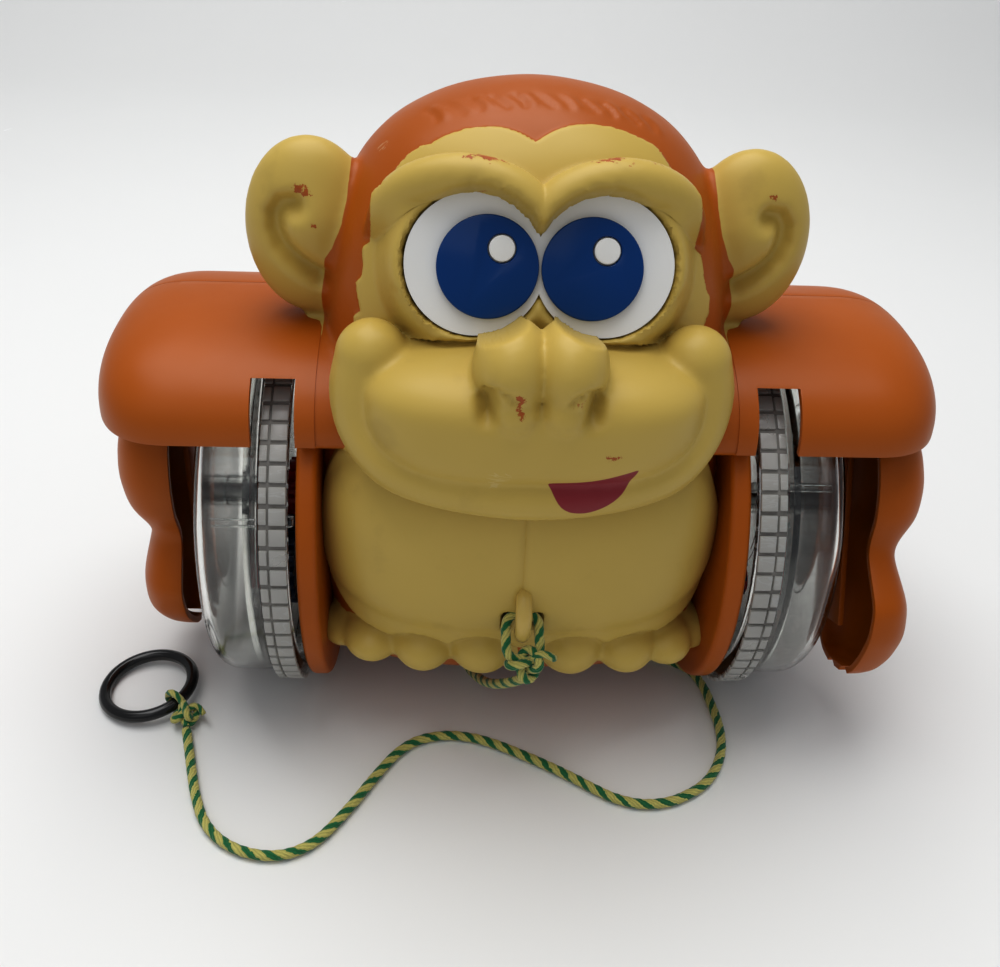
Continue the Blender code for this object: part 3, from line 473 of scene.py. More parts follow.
def braid(name, route, diameter, spacing=0.7, lobes=4, pitch=13.0, around=16):
    """A twisted, lobed cord along a route, with length and turn in its UV map. Returns it and its path."""
    rough = flow(route, 400)
    length = np.sum(np.linalg.norm(np.diff(rough, axis=0), axis=1))
    path = flow(route, max(8, int(length / spacing)))
    tangent = np.gradient(path, axis=0)
    tangent /= np.linalg.norm(tangent, axis=1)[:, None]
    up = np.array([0.03, 0.05, 1.0])
    if abs(tangent[0] @ up) > 0.9:
        up = np.array([1.0, 0.1, 0.0])
    points, faces, uvs = [], [], []
    normal = up - tangent[0] * (up @ tangent[0])
    for i, (p, t) in enumerate(zip(path, tangent)):
        normal = normal - t * (normal @ t)
        normal /= np.linalg.norm(normal)
        across = np.cross(t, normal)
        walked = i * spacing
        twist = 2 * math.pi * walked / pitch
        for k in range(around):
            a = 2 * math.pi * k / around
            radius = diameter / 2 * (0.955 + 0.045 * math.cos(lobes * (a - twist)))
            points.append(p + radius * (math.cos(a) * normal + math.sin(a) * across))
    rings = len(path)
    for i in range(rings - 1):
        for k in range(around):
            j = (k + 1) % around
            faces.append((i * around + k, (i + 1) * around + k, (i + 1) * around + j, i * around + j))
            u0, u1 = k / around, (k + 1) / around
            v0, v1 = i * spacing / pitch, (i + 1) * spacing / pitch
            uvs.extend([(u0, v0), (u0, v1), (u1, v1), (u1, v0)])
    for start in (0, (rings - 1) * around):
        face = [start + k for k in range(around)]
        faces.append(face if start else face[::-1])
        uvs.extend([(0.1, start / around * spacing / pitch)] * around)
    obj = mesh_from(name, points, faces)
    layer = obj.data.uv_layers.new(name="along")
    layer.data.foreach_set("uv", np.array(uvs, np.float32).ravel())
    with edit_mode(obj):
        bpy.ops.mesh.normals_make_consistent(inside=False)
    bpy.ops.object.shade_smooth()
    return obj, path, length


def cord_material():
    """Pale yellow yarn with dark green strands that wind round it."""
    mat = bpy.data.materials.new("braided_yarn")
    mat.use_nodes = True
    tree = mat.node_tree
    make = node_maker(tree)
    shader = tree.nodes["Principled BSDF"]
    uv = make("ShaderNodeUVMap", uv_map="along").outputs[0]
    split = make("ShaderNodeSeparateXYZ", {0: uv})
    where = make("ShaderNodeTexCoord").outputs["Object"]
    fuzz = make("ShaderNodeTexNoise", {"Vector": where, "Scale": 700.0})
    wobble = make("ShaderNodeMath", {0: fuzz.outputs["Fac"], 1: 0.16, 2: -0.08}, operation="MULTIPLY_ADD")
    turn = make("ShaderNodeMath", {0: split.outputs["Y"], 1: split.outputs["X"]}, operation="SUBTRACT")
    loose = make("ShaderNodeMath", {0: turn.outputs[0], 1: wobble.outputs[0]}, operation="ADD")
    twice = make("ShaderNodeMath", {0: loose.outputs[0], 1: 2.0}, operation="MULTIPLY")
    part = make("ShaderNodeMath", {0: twice.outputs[0]}, operation="FRACT")
    stripe = make("ShaderNodeMath", {0: part.outputs[0], 1: 0.42}, operation="LESS_THAN")
    shade = mix_colours(tree, stripe.outputs[0], (0.56, 0.52, 0.155, 1), (0.010, 0.16, 0.050, 1))
    strands = make("ShaderNodeMath", {0: loose.outputs[0], 1: 50.0}, operation="MULTIPLY")
    ripple = make("ShaderNodeMath", {0: strands.outputs[0]}, operation="SINE")
    dark = make("ShaderNodeMath", {0: ripple.outputs[0], 1: 0.13, 2: 0.86}, operation="MULTIPLY_ADD")
    tinted = mix_colours(tree, 1.0, shade, dark.outputs[0], "MULTIPLY")
    bump = make("ShaderNodeBump", {"Strength": 0.7, "Distance": 0.12 * MM, "Height": ripple.outputs[0]})
    tree.links.new(tinted, shader.inputs["Base Color"])
    tree.links.new(bump.outputs["Normal"], shader.inputs["Normal"])
    shader.inputs["Roughness"].default_value = 0.85
    shader.inputs["Sheen Weight"].default_value = 0.25
    return mat


yarn = cord_material()
cord, cord_path, cord_length = braid("pull_cord_braid", CORD_ROUTE, CORD_D)
show(cord, "root", yarn, "cord_braid", "pull_cord")
print("cord", round(cord_length, 1), "mm")

# %% [markdown]
# At each end the cord is knotted. A knot is the same cord on a closed pretzel-shaped path, squeezed
# into the small space that its CAD solid holds, with a loop round the plastic eye or the ring.

# %% Knots


def knot_path(centre, half, turn=0.0, count=40):
    """A pretzel path that fills a box with half sizes half."""
    rows = []
    for t in np.linspace(0, 2 * math.pi, count):
        x = (math.sin(t) + 2 * math.sin(2 * t)) / 3
        z = (math.cos(t) - 2 * math.cos(2 * t)) / 3
        y = -math.sin(3 * t)
        x, z = x * math.cos(turn) - z * math.sin(turn), x * math.sin(turn) + z * math.cos(turn)
        rows.append((centre[0] + half[0] * x, centre[1] + half[1] * y, centre[2] + half[2] * z))
    return rows


EYE_STRAND = [(2.2, -69.3, 51.5), (-3.6, -69.2, 53.2), (-4.7, -66.0, 58), (-4.0, -62.6, 61.2),
              (0, -61.2, 62.2), (4.0, -62.6, 61.2), (4.7, -66.0, 58), (4.4, -69.2, 53.2), (-1.0, -70.4, 51.0)]
eye_loop = braid("eye_loop", EYE_STRAND, 2.9, pitch=10)[0]
eye_lump = braid("eye_lump", knot_path((1.2, -70.0, 50.6), (5.0, 2.3, 4.4), 0.5), 2.8, pitch=9)[0]
eye_tails = braid("eye_tail", [(2.5, -70, 53), (5.2, -71.2, 55.8), (7.6, -71.6, 55.4), (8.8, -70.8, 53.8)],
                  2.2, pitch=8)[0]
eye_knot = joined("eyelet_knot_cord", [eye_loop, eye_lump, eye_tails])
show(eye_knot, "root", yarn, "cord_braid", "eyelet_knot")

RING_X, RING_Y, RING_TILT = -118.5, -31.5, math.radians(6)
RING_MID, RING_WIRE = 14.1, 3.8
heading = math.radians(-38)
hold = Vector((RING_X + RING_MID * math.cos(heading) * math.cos(RING_TILT),
               RING_Y + RING_MID * math.sin(heading),
               RING_WIRE / 2 + RING_MID * math.sin(RING_TILT) * (1 + math.cos(heading))))
reach = RING_WIRE / 2 + 1.5
hoop = [(hold.x + math.cos(heading) * reach * math.cos(a) + 0.9 * math.sin(heading) * math.sin(a / 2),
         hold.y + math.sin(heading) * reach * math.cos(a), hold.z + reach * math.sin(a))
        for a in np.linspace(0, 2 * math.pi, 14)]
end = CORD_ROUTE[-1]
ring_loop = braid("ring_loop", hoop, 2.3, pitch=9)[0]
ring_lump = braid("ring_lump", knot_path((end[0] - 0.9, end[1] + 4.6, 4.2), (3.6, 3.0, 2.2), 1.0), 2.5,
                  pitch=9)[0]
ring_neck = braid("ring_neck", [(hold.x + 2.6, hold.y - 2.4, hold.z), (end[0] - 1.2, end[1] + 6.5, 4.6),
                                (end[0], end[1] + 0.6, 2.4)], 2.4, pitch=9)[0]
ring_tail = braid("ring_tail", [(end[0] - 1, end[1] + 5, 5), (end[0] + 2.6, end[1] + 6, 6),
                                (end[0] + 5, end[1] + 4, 4.5)], 1.9, pitch=7)[0]
ring_knot = joined("ring_knot_cord", [ring_loop, ring_lump, ring_neck, ring_tail])
show(ring_knot, "root", yarn, "cord_braid", "ring_knot")

# %% [markdown]
# The pull ring is a glossy black hoop moulded in two halves. A torus is the shape itself, and a
# narrow raised line round its outside is where the two halves of the mould met.

# %% Pull ring
bpy.ops.object.select_all(action="DESELECT")
bpy.ops.mesh.primitive_torus_add(major_segments=96, minor_segments=32, major_radius=RING_MID * MM,
                                 minor_radius=RING_WIRE / 2 * MM)
ring = named("pull_ring_hoop")
ring_co = np.zeros(len(ring.data.vertices) * 3)
ring.data.vertices.foreach_get("co", ring_co)
ring_co = ring_co.reshape(-1, 3)
seam = np.exp(-(ring_co[:, 2] / (0.16 * MM)) ** 2)
ring_co *= (1 + 0.008 * seam)[:, None]
ring.data.vertices.foreach_set("co", ring_co.ravel())
ring.rotation_euler = (0, -RING_TILT, 0)
ring.location = at(RING_X, RING_Y, RING_WIRE / 2 + RING_MID * math.sin(RING_TILT))
settle(ring)
only(ring)
bpy.ops.object.shade_smooth()
show(ring, "root", ring_black, "ring_black", "pull_ring")
# %% [markdown]
# The body and head are one hollow moulding. Its soft main form is a ball pushed out to the level
# sections of the body. Ears, belly halves and muzzle base overlap it and are fused by a voxel
# remesh, then relaxed, which gives the soft fillets of a moulding.

# %% Soft body form
# height, half width, front, back and how square the level section is
BODY_SECTIONS = [
    (14, 53, -30, 62, 3.2), (22, 57, -42, 71, 3.2), (34, 60, -52, 75, 3.0), (60, 61, -58, 77, 2.9),
    (88, 61, -56, 75, 2.9), (104, 60, -51, 70, 2.7), (122, 57, -47, 64, 2.5), (142, 56.5, -45, 59, 2.4),
    (158, 53.5, -42, 52, 2.3), (171, 47.5, -36.5, 42, 2.2), (181, 38.5, -29, 31, 2.1),
    (188, 26, -19, 21, 2.0), (192, 9, -6, 8, 2.0), (192.6, 0.5, -0.5, 0.5, 2.0),
]
FLAT_SHARE = 0.14          # share of the ball's height that becomes the flat underside
VOXEL = 0.95               # mm


def eased(rows, count=240, passes=60):
    """Rows read evenly along a section table and relaxed, so that no level shows as a crease."""
    rows = np.asarray(rows, float)
    walked = np.concatenate([[0], np.cumsum(np.linalg.norm(np.diff(rows[:, :4], axis=0), axis=1))])
    steps = np.linspace(0, walked[-1], count)
    out = np.stack([np.interp(steps, walked, rows[:, i]) for i in range(rows.shape[1])], axis=1)
    for _ in range(passes):
        out[1:-1] = (out[:-2] + 2 * out[1:-1] + out[2:]) / 4
    return out


core = ball("body_form", (0, 0, 100), (50, 50, 50), 128)
co = (places(core) - np.array([0, 0, 100])) / 50
level = np.arcsin(np.clip(co[:, 2], -1, 1)) / math.pi + 0.5
table = eased(BODY_SECTIONS)
rise = np.clip((level - FLAT_SHARE) / (1 - FLAT_SHARE), 0, 1) * (len(table) - 1)
row = np.stack([np.interp(rise, np.arange(len(table)), table[:, i]) for i in range(5)], axis=1)
around = np.arctan2(co[:, 1], co[:, 0])
c, s = np.cos(around), np.sin(around)
grow = np.clip(level / FLAT_SHARE, 0, 1)
form = np.zeros_like(co)
form[:, 0] = np.sign(c) * np.abs(c) ** (2 / row[:, 4]) * row[:, 1] * grow
form[:, 1] = np.sign(s) * np.abs(s) ** (2 / row[:, 4]) * np.where(s > 0, row[:, 3], -row[:, 2]) * grow
form[:, 2] = row[:, 0]
put_places(core, form)


def puffed(name, centre, radii, power, low=None, segments=96):
    """An ellipsoid made squarer by its power, with its own radius below the centre."""
    obj = ball(name, centre, radii, segments)
    unit = (places(obj) - centre) / radii
    unit /= (np.abs(unit) ** power).sum(axis=1)[:, None] ** (1 / power)
    unit[:, 2] *= np.where(unit[:, 2] < 0, (low or radii[2]) / radii[2], 1)
    put_places(obj, unit * radii + centre)
    return obj


HOOD_Z, HOOD_A, HOOD_B = 105.2, 44.2, 22.3
soft = [core, ball("muzzle_base", (0, -45, 119), (47, 24, 21)),
        puffed("belly", np.array([0, -24, 72.0]), np.array([57.5, 37.0, 42.0]), 2.7, 31.0)]
for sign, tag in SIDES:
    soft.append(ball("ear_" + tag, (sign * 60, -6, 153), (18, 12, 25)))
    root = disc("shoulder_root", sign * 48, sign * 62.8, 1, 0, HOOD_Z, 96)
    shape = places(root)
    angle = np.arctan2(shape[:, 2] - HOOD_Z, shape[:, 1])
    lift = np.sin(angle)
    shape[:, 1] = np.sign(np.cos(angle)) * np.abs(np.cos(angle)) ** 0.85 * (HOOD_A - 0.3)
    shape[:, 2] = HOOD_Z + np.sign(lift) * np.abs(lift) ** 0.85 * np.where(lift > 0, HOOD_B - 0.3, 4)
    put_places(root, shape)
    soft.append(root)
body = joined("body", soft)
shape_with(body, "REMESH", mode="VOXEL", voxel_size=VOXEL * MM)
shape_with(body, "SMOOTH", factor=0.5, iterations=15)
print("soft form", len(body.data.polygons), "faces")

# %% [markdown]
# The face has crisper forms: the jaw with a ball at each cheek, the upper lip, the two lobes of
# the nose, the brow roll and the toes. They are swept or round forms fused in a second pass with
# little relaxing, so that the creases between them stay sharp.

# %% Face and foot forms
JAW = [(-41.5, -46, 135, 9.5), (-42.5, -47, 126, 10.3), (-41.0, -50, 117, 9.8), (-35, -56, 110.5, 8.8),
       (-25, -61.5, 108.3, 7.8), (-12, -65.5, 107.6, 7.2), (0, -66.8, 107.3, 7.0)]
JAW = JAW + [(-x, y, z, r) for x, y, z, r in JAW[-2::-1]]
BROW = [(-41, -25, 160, 3.4), (-38.0, -30.5, 168.5, 4.0), (-31, -34.5, 175.6, 4.4), (-21, -37, 178.9, 4.6),
        (-10, -38.8, 177.5, 4.8), (-3, -40.5, 173.2, 4.8), (0, -42.2, 168, 3.8)]
BROW_RIGHT = [(-x, y, z, r) for x, y, z, r in BROW]
LIP_C, LIP_R, LIP_POWER, LIP_LOW = (0, -48.0, 127.0), (44.0, 27.0, 14.0), 2.7, 21.5
NOSE = ((6.9, -64.0, 142.4), (9.6, 13.5, 11.6))
KNOB = ((5.9, -71.2, 133.8), (5.9, 6.0, 6.0))
TOES = [(-53.0, -36.5, 36.5, 6.8, 10, 4.8), (-43.5, -42.5, 38.0, 9.2, 12, 6.2),
        (-28, -46.4, 39.3, 9.7, 12.5, 7.8), (-10.5, -47.4, 40.3, 10.6, 12.5, 9.4),
        (16, -47.4, 40.3, 10.6, 12.5, 9.4), (33, -46.4, 39.0, 9.7, 12.5, 7.6),
        (46, -42.5, 37.6, 8.9, 12, 6.2), (54.5, -36.5, 36.5, 6.6, 10, 4.8)]


def rolled(name, rows, count=60, sides=24):
    """A round roll of changing radius along a path, closed by a ball at each end."""
    rows = flow(rows, count)
    curve = bpy.data.curves.new(name, "CURVE")
    curve.dimensions = "3D"
    curve.bevel_depth = MM
    curve.bevel_resolution = sides // 4
    curve.use_fill_caps = True
    spline = curve.splines.new("POLY")
    spline.points.add(len(rows) - 1)
    for point, (x, y, z, r) in zip(spline.points, rows):
        point.co = (*at(x, y, z), 1)
        point.radius = r
    obj = bpy.data.objects.new(name, curve)
    bpy.context.scene.collection.objects.link(obj)
    only(obj)
    bpy.ops.object.convert(target="MESH")
    ends = [ball("roll_end", rows[i][:3], [rows[i][3]] * 3, 32) for i in (0, -1)]
    return joined(name, [bpy.context.view_layer.objects[obj.name], *ends])


crisp = [body, rolled("jaw", JAW), rolled("brow_left", BROW), rolled("brow_right", BROW_RIGHT),
         puffed("upper_lip", np.array(LIP_C), np.array(LIP_R), LIP_POWER, LIP_LOW)]
for sign, tag in SIDES:
    for part, (centre, radii) in (("nose_", NOSE), ("nostril_knob_", KNOB)):
        crisp.append(ball(part + tag, (sign * centre[0], *centre[1:]), radii))
for index, toe in enumerate(TOES):
    crisp.append(ball("toe_%d" % index, toe[:3], toe[3:], 32))
body = joined("body", crisp)
shape_with(body, "REMESH", mode="VOXEL", voxel_size=VOXEL * MM)
shape_with(body, "SMOOTH", factor=0.5, iterations=6)
print("with face", len(body.data.polygons), "faces")

# %% [markdown]
# Painted areas have raised edges in the moulding: the face mask with its ticked hair edge and the
# belly panel. Each is an outline seen from the front. The distance of every point from the outline
# raises the panel, and the same distance is kept on the mesh, so the paint ends exactly there.

# %% Outlines and distances
LEAN = math.radians(34.6)      # the face is outlined on a plane that leans back by this much
MASK = [(-46.8, 93.5), (-46.8, 96.8), (-44.9, 97.6), (-45.8, 101.6), (-46.1, 104.8), (-44.4, 106.0),
        (-44.1, 109.2), (-44.4, 113.2), (-42.3, 114.0), (-41.8, 117.5), (-41.3, 122.6), (-41.1, 124.6),
        (-38.5, 125.0), (-37.5, 128.4), (-35.3, 132.5), (-32.5, 135.3), (-29.6, 137.0), (-27.2, 137.3),
        (-23.3, 139.3), (-18.7, 140.8), (-13.6, 141.2), (-9.1, 140.8), (-5.3, 139.4), (-3.1, 138.0),
        (-1.3, 136.9), (0.5, 138.4), (3.2, 140.2), (7.4, 142.0), (12.4, 142.8), (18.0, 142.6),
        (22.4, 141.6), (26.5, 140.2), (29.2, 139.2), (31.2, 137.3), (34.0, 133.0), (36.3, 128.9),
        (38.3, 125.6), (39.4, 124.6), (39.9, 121.9), (40.4, 118.0), (40.7, 114.2), (42.8, 113.0),
        (43.7, 109.7), (45.3, 104.8), (46.8, 103.6), (47.0, 99.6), (45.5, 95.4), (47.0, 94.2), (47.2, 80),
        (-46.8, 80)]
BELLY_LEFT = [(-45, 113), (-51, 103), (-56, 91), (-58, 76), (-58, 63), (-55, 54), (-49, 46.5), (-41, 43)]
BELLY_RIGHT = [(39, 43), (51, 47), (56, 53.5), (59, 63), (58.4, 77), (55, 90), (50, 103), (43, 113)]
mask_outline = np.array(MASK)
belly_outline = np.vstack([flow(np.column_stack([BELLY_LEFT, np.zeros(len(BELLY_LEFT))]), 40)[:, :2],
                           flow(np.column_stack([BELLY_RIGHT, np.zeros(len(BELLY_RIGHT))]), 40)[:, :2]])
tongue_outline = np.vstack([flow([(3, 114.2, 0), (14, 114.9, 0), (25.5, 118.0, 0)], 16)[:, :2],
                            flow([(25.0, 116, 0), (22.5, 110.2, 0), (17.5, 106.3, 0), (12, 105.0, 0),
                                  (7, 107.2, 0), (3.2, 113.2, 0)], 24)[:, :2]])


def signed_distance(points, outline):
    """Distance of flat points from a closed outline, above zero inside it."""
    best = np.full(len(points), 1e9)
    inside = np.zeros(len(points), bool)
    for a, b in zip(outline, np.roll(outline, -1, axis=0)):
        span = b - a
        t = np.clip(((points - a) @ span) / max(span @ span, 1e-9), 0, 1)
        best = np.minimum(best, np.linalg.norm(points - a - t[:, None] * span, axis=1))
        crosses = (a[1] > points[:, 1]) != (b[1] > points[:, 1])
        rise = np.where(abs(span[1]) > 1e-9, span[1], 1e-9)
        inside ^= crosses & (points[:, 0] < a[0] + (points[:, 1] - a[1]) / rise * span[0])
    return np.where(inside, best, -best)


def roll_distance(points, rows):
    """Distance of points from the surface of a roll, above zero outside it."""
    best = np.full(len(points), 1e9)
    for x, y, z, r in flow(rows, 70):
        best = np.minimum(best, np.linalg.norm(points - (x, y, z), axis=1) - r)
    return best


def oval_distance(points, centre, radii):
    """Near enough the distance of points from an ellipsoid, above zero outside it."""
    scaled = (points - np.asarray(centre)) / np.asarray(radii)
    return (np.linalg.norm(scaled, axis=1) - 1) * min(radii)


def lip_distance(points):
    """Near enough the distance of points from the upper lip, above zero outside it."""
    unit = points - LIP_C
    unit[:, 2] *= np.where(unit[:, 2] < 0, LIP_R[2] / LIP_LOW, 1)
    return ((np.abs(unit / LIP_R) ** LIP_POWER).sum(axis=1) ** (1 / LIP_POWER) - 1) * LIP_R[2]


def line_distance(points, rows):
    """Distance of flat points from an open line."""
    best = np.full(len(points), 1e9)
    rows = np.asarray(rows, float)
    for a, b in zip(rows, rows[1:]):
        span = b - a
        t = np.clip(((points - a) @ span) / max(span @ span, 1e-9), 0, 1)
        best = np.minimum(best, np.linalg.norm(points - a - t[:, None] * span, axis=1))
    return best


def step(distance, width):
    """Zero outside an edge, one inside it, with a smooth rise of that width."""
    t = np.clip(distance / width, 0, 1)
    return t * t * (3 - 2 * t)


# %% Sculpt the body
EYE_TILT = math.radians(23)
EYE_C = np.array([0, -43.0, 159.0])
EYE_R, EYE_DX, EYE_T = 17.4, 16.0, 3.0
eye_back = np.array([0, math.cos(EYE_TILT), -math.sin(EYE_TILT)])
eye_up = np.array([0, math.sin(EYE_TILT), math.cos(EYE_TILT)])
co, nor = places(body), normals(body)
flat = co[:, [0, 2]]
jaw_gap = roll_distance(co, JAW)
lip_gap = lip_distance(co)
nose_gap = np.min([oval_distance(co, (sign * centre[0], *centre[1:]), radii)
                   for sign, tag in SIDES for centre, radii in (NOSE, KNOB)], axis=0)
toe_gap = np.min([oval_distance(co, t[:3], t[3:]) for t in TOES], axis=0)
face_clear = step(np.minimum(jaw_gap, np.minimum(lip_gap, nose_gap)) - 0.4, 1.6)

belly = signed_distance(flat, belly_outline)
belly_front = step(-co[:, 1] - 22, 8) * (co[:, 2] < 116)
raise_by = 1.9 * step(belly + 0.2, 2.0) * belly_front * face_clear * step(toe_gap - 0.2, 1.5)
leaning = np.column_stack([co[:, 0], co[:, 1] * math.sin(LEAN) + co[:, 2] * math.cos(LEAN)])
mask = signed_distance(leaning, mask_outline)
mask_front = step(-co[:, 1] - 3, 4) * (co[:, 2] > 124)
raise_by += 0.9 * step(mask + 0.3, 0.6) * mask_front * face_clear
groove = np.exp(-(co[:, 0] + 0.6) ** 2 / (2 * 0.7 ** 2)) * (co[:, 2] < 103)
groove = groove * step(co[:, 2] - 64, 6) * belly_front
raise_by -= 1.0 * groove * face_clear
co = co + nor * raise_by[:, None]

ear_groove = [(57.3, 142.7), (60.5, 145), (63.9, 147.8), (66.7, 151.1), (68.2, 155.1), (68.1, 159.1),
              (66.1, 161.9), (63.2, 162.5)]
for sign, tag in SIDES:
    near = line_distance(co[:, [0, 2]] * (sign, 1), ear_groove)
    ear_front = (co[:, 1] < -6) * (co[:, 0] * sign > 47) * (co[:, 2] > 128)
    depth = 5.2 * np.exp(-(near / 2.6) ** 2) * ear_front
    lobe = 1.6 * np.exp(-((co[:, 0] * sign - 58) ** 2 + (co[:, 2] - 158) ** 2) / 50) * ear_front
    co[:, 1] += depth - lobe

rel = co - EYE_C
eye_x, eye_y, eye_z = rel[:, 0], rel @ eye_back, rel @ eye_up
eye_gap = np.hypot(np.abs(eye_x) - EYE_DX, eye_z) - EYE_R
socket = step(-(eye_gap - 0.6), 0.8) * (eye_y < 8) * (co[:, 1] < -25)
target = np.maximum(eye_y, 1.2)
co += eye_back * ((target - eye_y) * socket)[:, None]

rim = step(8.5 - eye_gap, 7) * (eye_gap > 0.2) * (co[:, 1] < -18) * (nose_gap > 0.3) * (eye_z > -19)
co += eye_back * ((np.minimum(eye_y, -1.3) - eye_y) * rim)[:, None]

# the flat corner between eyes and nose, and the almond fold under each eye
fold_line = [(13.0, 143.6), (22, 142.2), (30, 146.2), (35.5, 152.5)]
for sign, tag in SIDES:
    near = line_distance(co[:, [0, 2]] * (sign, 1), fold_line)
    co[:, 1] += 0.9 * np.exp(-(near / 0.8) ** 2) * (co[:, 1] < -30) * (nose_gap > 1) * (lip_gap > 0.5)

# nostril hollows: a deep crescent that opens beside a round inner knob
nostril = [(12.6, 139.2), (13.2, 136.4), (12.8, 133.4)]
curl = [(12.8, 140.4), (10.4, 141.9), (7.8, 141.0), (6.8, 139.4)]
for sign, tag in SIDES:
    near = line_distance(co[:, [0, 2]] * (sign, 1), nostril)
    bend = line_distance(co[:, [0, 2]] * (sign, 1), curl)
    hollow = 4.6 * np.exp(-(near / 2.0) ** 2) + 1.5 * np.exp(-(bend / 1.0) ** 2)
    co[:, 1] += hollow * (co[:, 1] < -55) * (co[:, 2] > 128)

# fur tufts along the top of the forehead
for index, x in enumerate(np.arange(-27, 30, 5.6)):
    top = 150.2 - 0.0045 * x * x
    lean = 2.2 if index % 2 else 1.2
    near = line_distance(leaning, [(x - 1.6, top + 1.6), (x + 0.4, top - 0.2), (x + lean, top - 2.0)])
    crown = (co[:, 1] < 4) * (co[:, 2] > 176)
    co[:, 2] -= 0.35 * (1 + 0.4 * math.sin(5 * index)) * np.exp(-(near / 0.9) ** 2) * crown
    near = line_distance(leaning, [(x + 0.6, top + 1.8), (x + 2.4, top + 0.2), (x + lean + 1.8, top - 1.6)])
    co[:, 2] += 0.3 * (1 + 0.4 * math.cos(3 * index)) * np.exp(-(near / 1.2) ** 2) * crown

# slots pressed in on both sides of the cord eye; their dark is painted shade in the body material
SLOT_X, SLOT_Z = (-4.2, 4.2), 59
for x in SLOT_X:
    hole = np.exp(-((flat[:, 0] - x) / 1.5) ** 4 - ((flat[:, 1] - SLOT_Z) / 3.4) ** 4) * (co[:, 1] < -45)
    co[:, 1] += 5.0 * hole
put_places(body, co)
near_eyes = body.vertex_groups.new(name="eye rims")
near_eyes.add([int(i) for i in np.nonzero((np.abs(eye_gap) < 3.5) & (co[:, 1] < -15))[0]], 1.0, "REPLACE")
shape_with(body, "SMOOTH", factor=0.5, iterations=4, vertex_group="eye rims")
co = places(body)
print("sculpted, deepest move", round(float(np.abs(raise_by).max()), 2), "mm")

# %% [markdown]
# Paint is not uniform: it has chips on the brow, nose, ears and chin. Each vertex keeps four
# numbers: how far it is inside the cream paint, inside the tongue, how worn it is and how deep in
# one of the slots beside the cord eye, which are given painted shade for the dark inside of the
# hollow body. The material turns these into colours with crisp broken edges.

# %% Paint distances
ears = np.full(len(co), -9.0)
EAR_EDGE = [(48.2, 180), (48.2, 176), (48.6, 169.8), (49.3, 164.2), (50.7, 158.1), (53.5, 151.5),
            (55.6, 148.4), (56.3, 142.2), (57.3, 136.2), (57.3, 126), (95, 126), (95, 180)]
for sign, tag in SIDES:
    ears = np.maximum(ears, signed_distance(co[:, [0, 2]] * (sign, 1), np.array(EAR_EDGE)))
ears = np.minimum(ears, -(co[:, 1] - 1.0))
reach_out = 1.1 + 3.0 * step(-co[:, 1] - 50, 8)
face_paint = np.maximum(reach_out - np.minimum(jaw_gap, np.minimum(lip_gap, nose_gap)), 1.1 - toe_gap)
mask_paint = np.minimum(mask, -(co[:, 1] + 2))
belly_paint = np.minimum(belly, np.minimum(-(co[:, 1] + 22), 116 - co[:, 2]))
cream_edge = np.max([ears, face_paint, mask_paint, belly_paint], axis=0)
tongue_edge = np.minimum(signed_distance(flat, tongue_outline), -(co[:, 1] + 60))
# worn spots: centre, then reach along X, Y and Z
WORN = [(-14, -38, 184, 7, 3, 3), (17, -38, 183.5, 9, 3, 3), (25, -36, 181, 5, 3, 3),
        (-5.6, -77, 138.5, 2.6, 6, 4.4),
        (8.0, -77, 138.8, 3.2, 6, 2.8), (-5, -78, 137, 1.4, 5, 1.2), (6.5, -78, 137.5, 1.6, 5, 1.4),
        (18.5, -73, 123, 3.5, 5, 1.4), (-61, -17, 167, 4, 6, 2.6), (-57.5, -17, 158, 2.0, 6, 1.2),
        (-22, -60, 39, 2.0, 6, 1.2), (63, -14, 168, 3, 6, 1.2), (-13, -37, 176, 4, 4, 1.0)]
worn = np.zeros(len(co))
for x, y, z, a, b, c in WORN:
    away = ((co[:, 0] - x) / a) ** 2 + ((co[:, 1] - y) / b) ** 2 + ((co[:, 2] - z) / c) ** 2
    worn = np.maximum(worn, np.exp(-away))
# painted shade: how far a point lies in a slot beside the cord eye, painted dark for the unlit inside of the
# hollow body
hole_shade = np.max([np.exp(-((flat[:, 0] - x) / 1.5) ** 4 - ((flat[:, 1] - SLOT_Z) / 3.2) ** 4) for x in SLOT_X],
             axis=0)
hole_shade *= (co[:, 1] < -45)
store(body, "cream_edge", np.clip(cream_edge, -4, 4))
store(body, "tongue_edge", np.clip(tongue_edge, -4, 4))
store(body, "worn", worn)
store(body, "hole_shade", hole_shade)


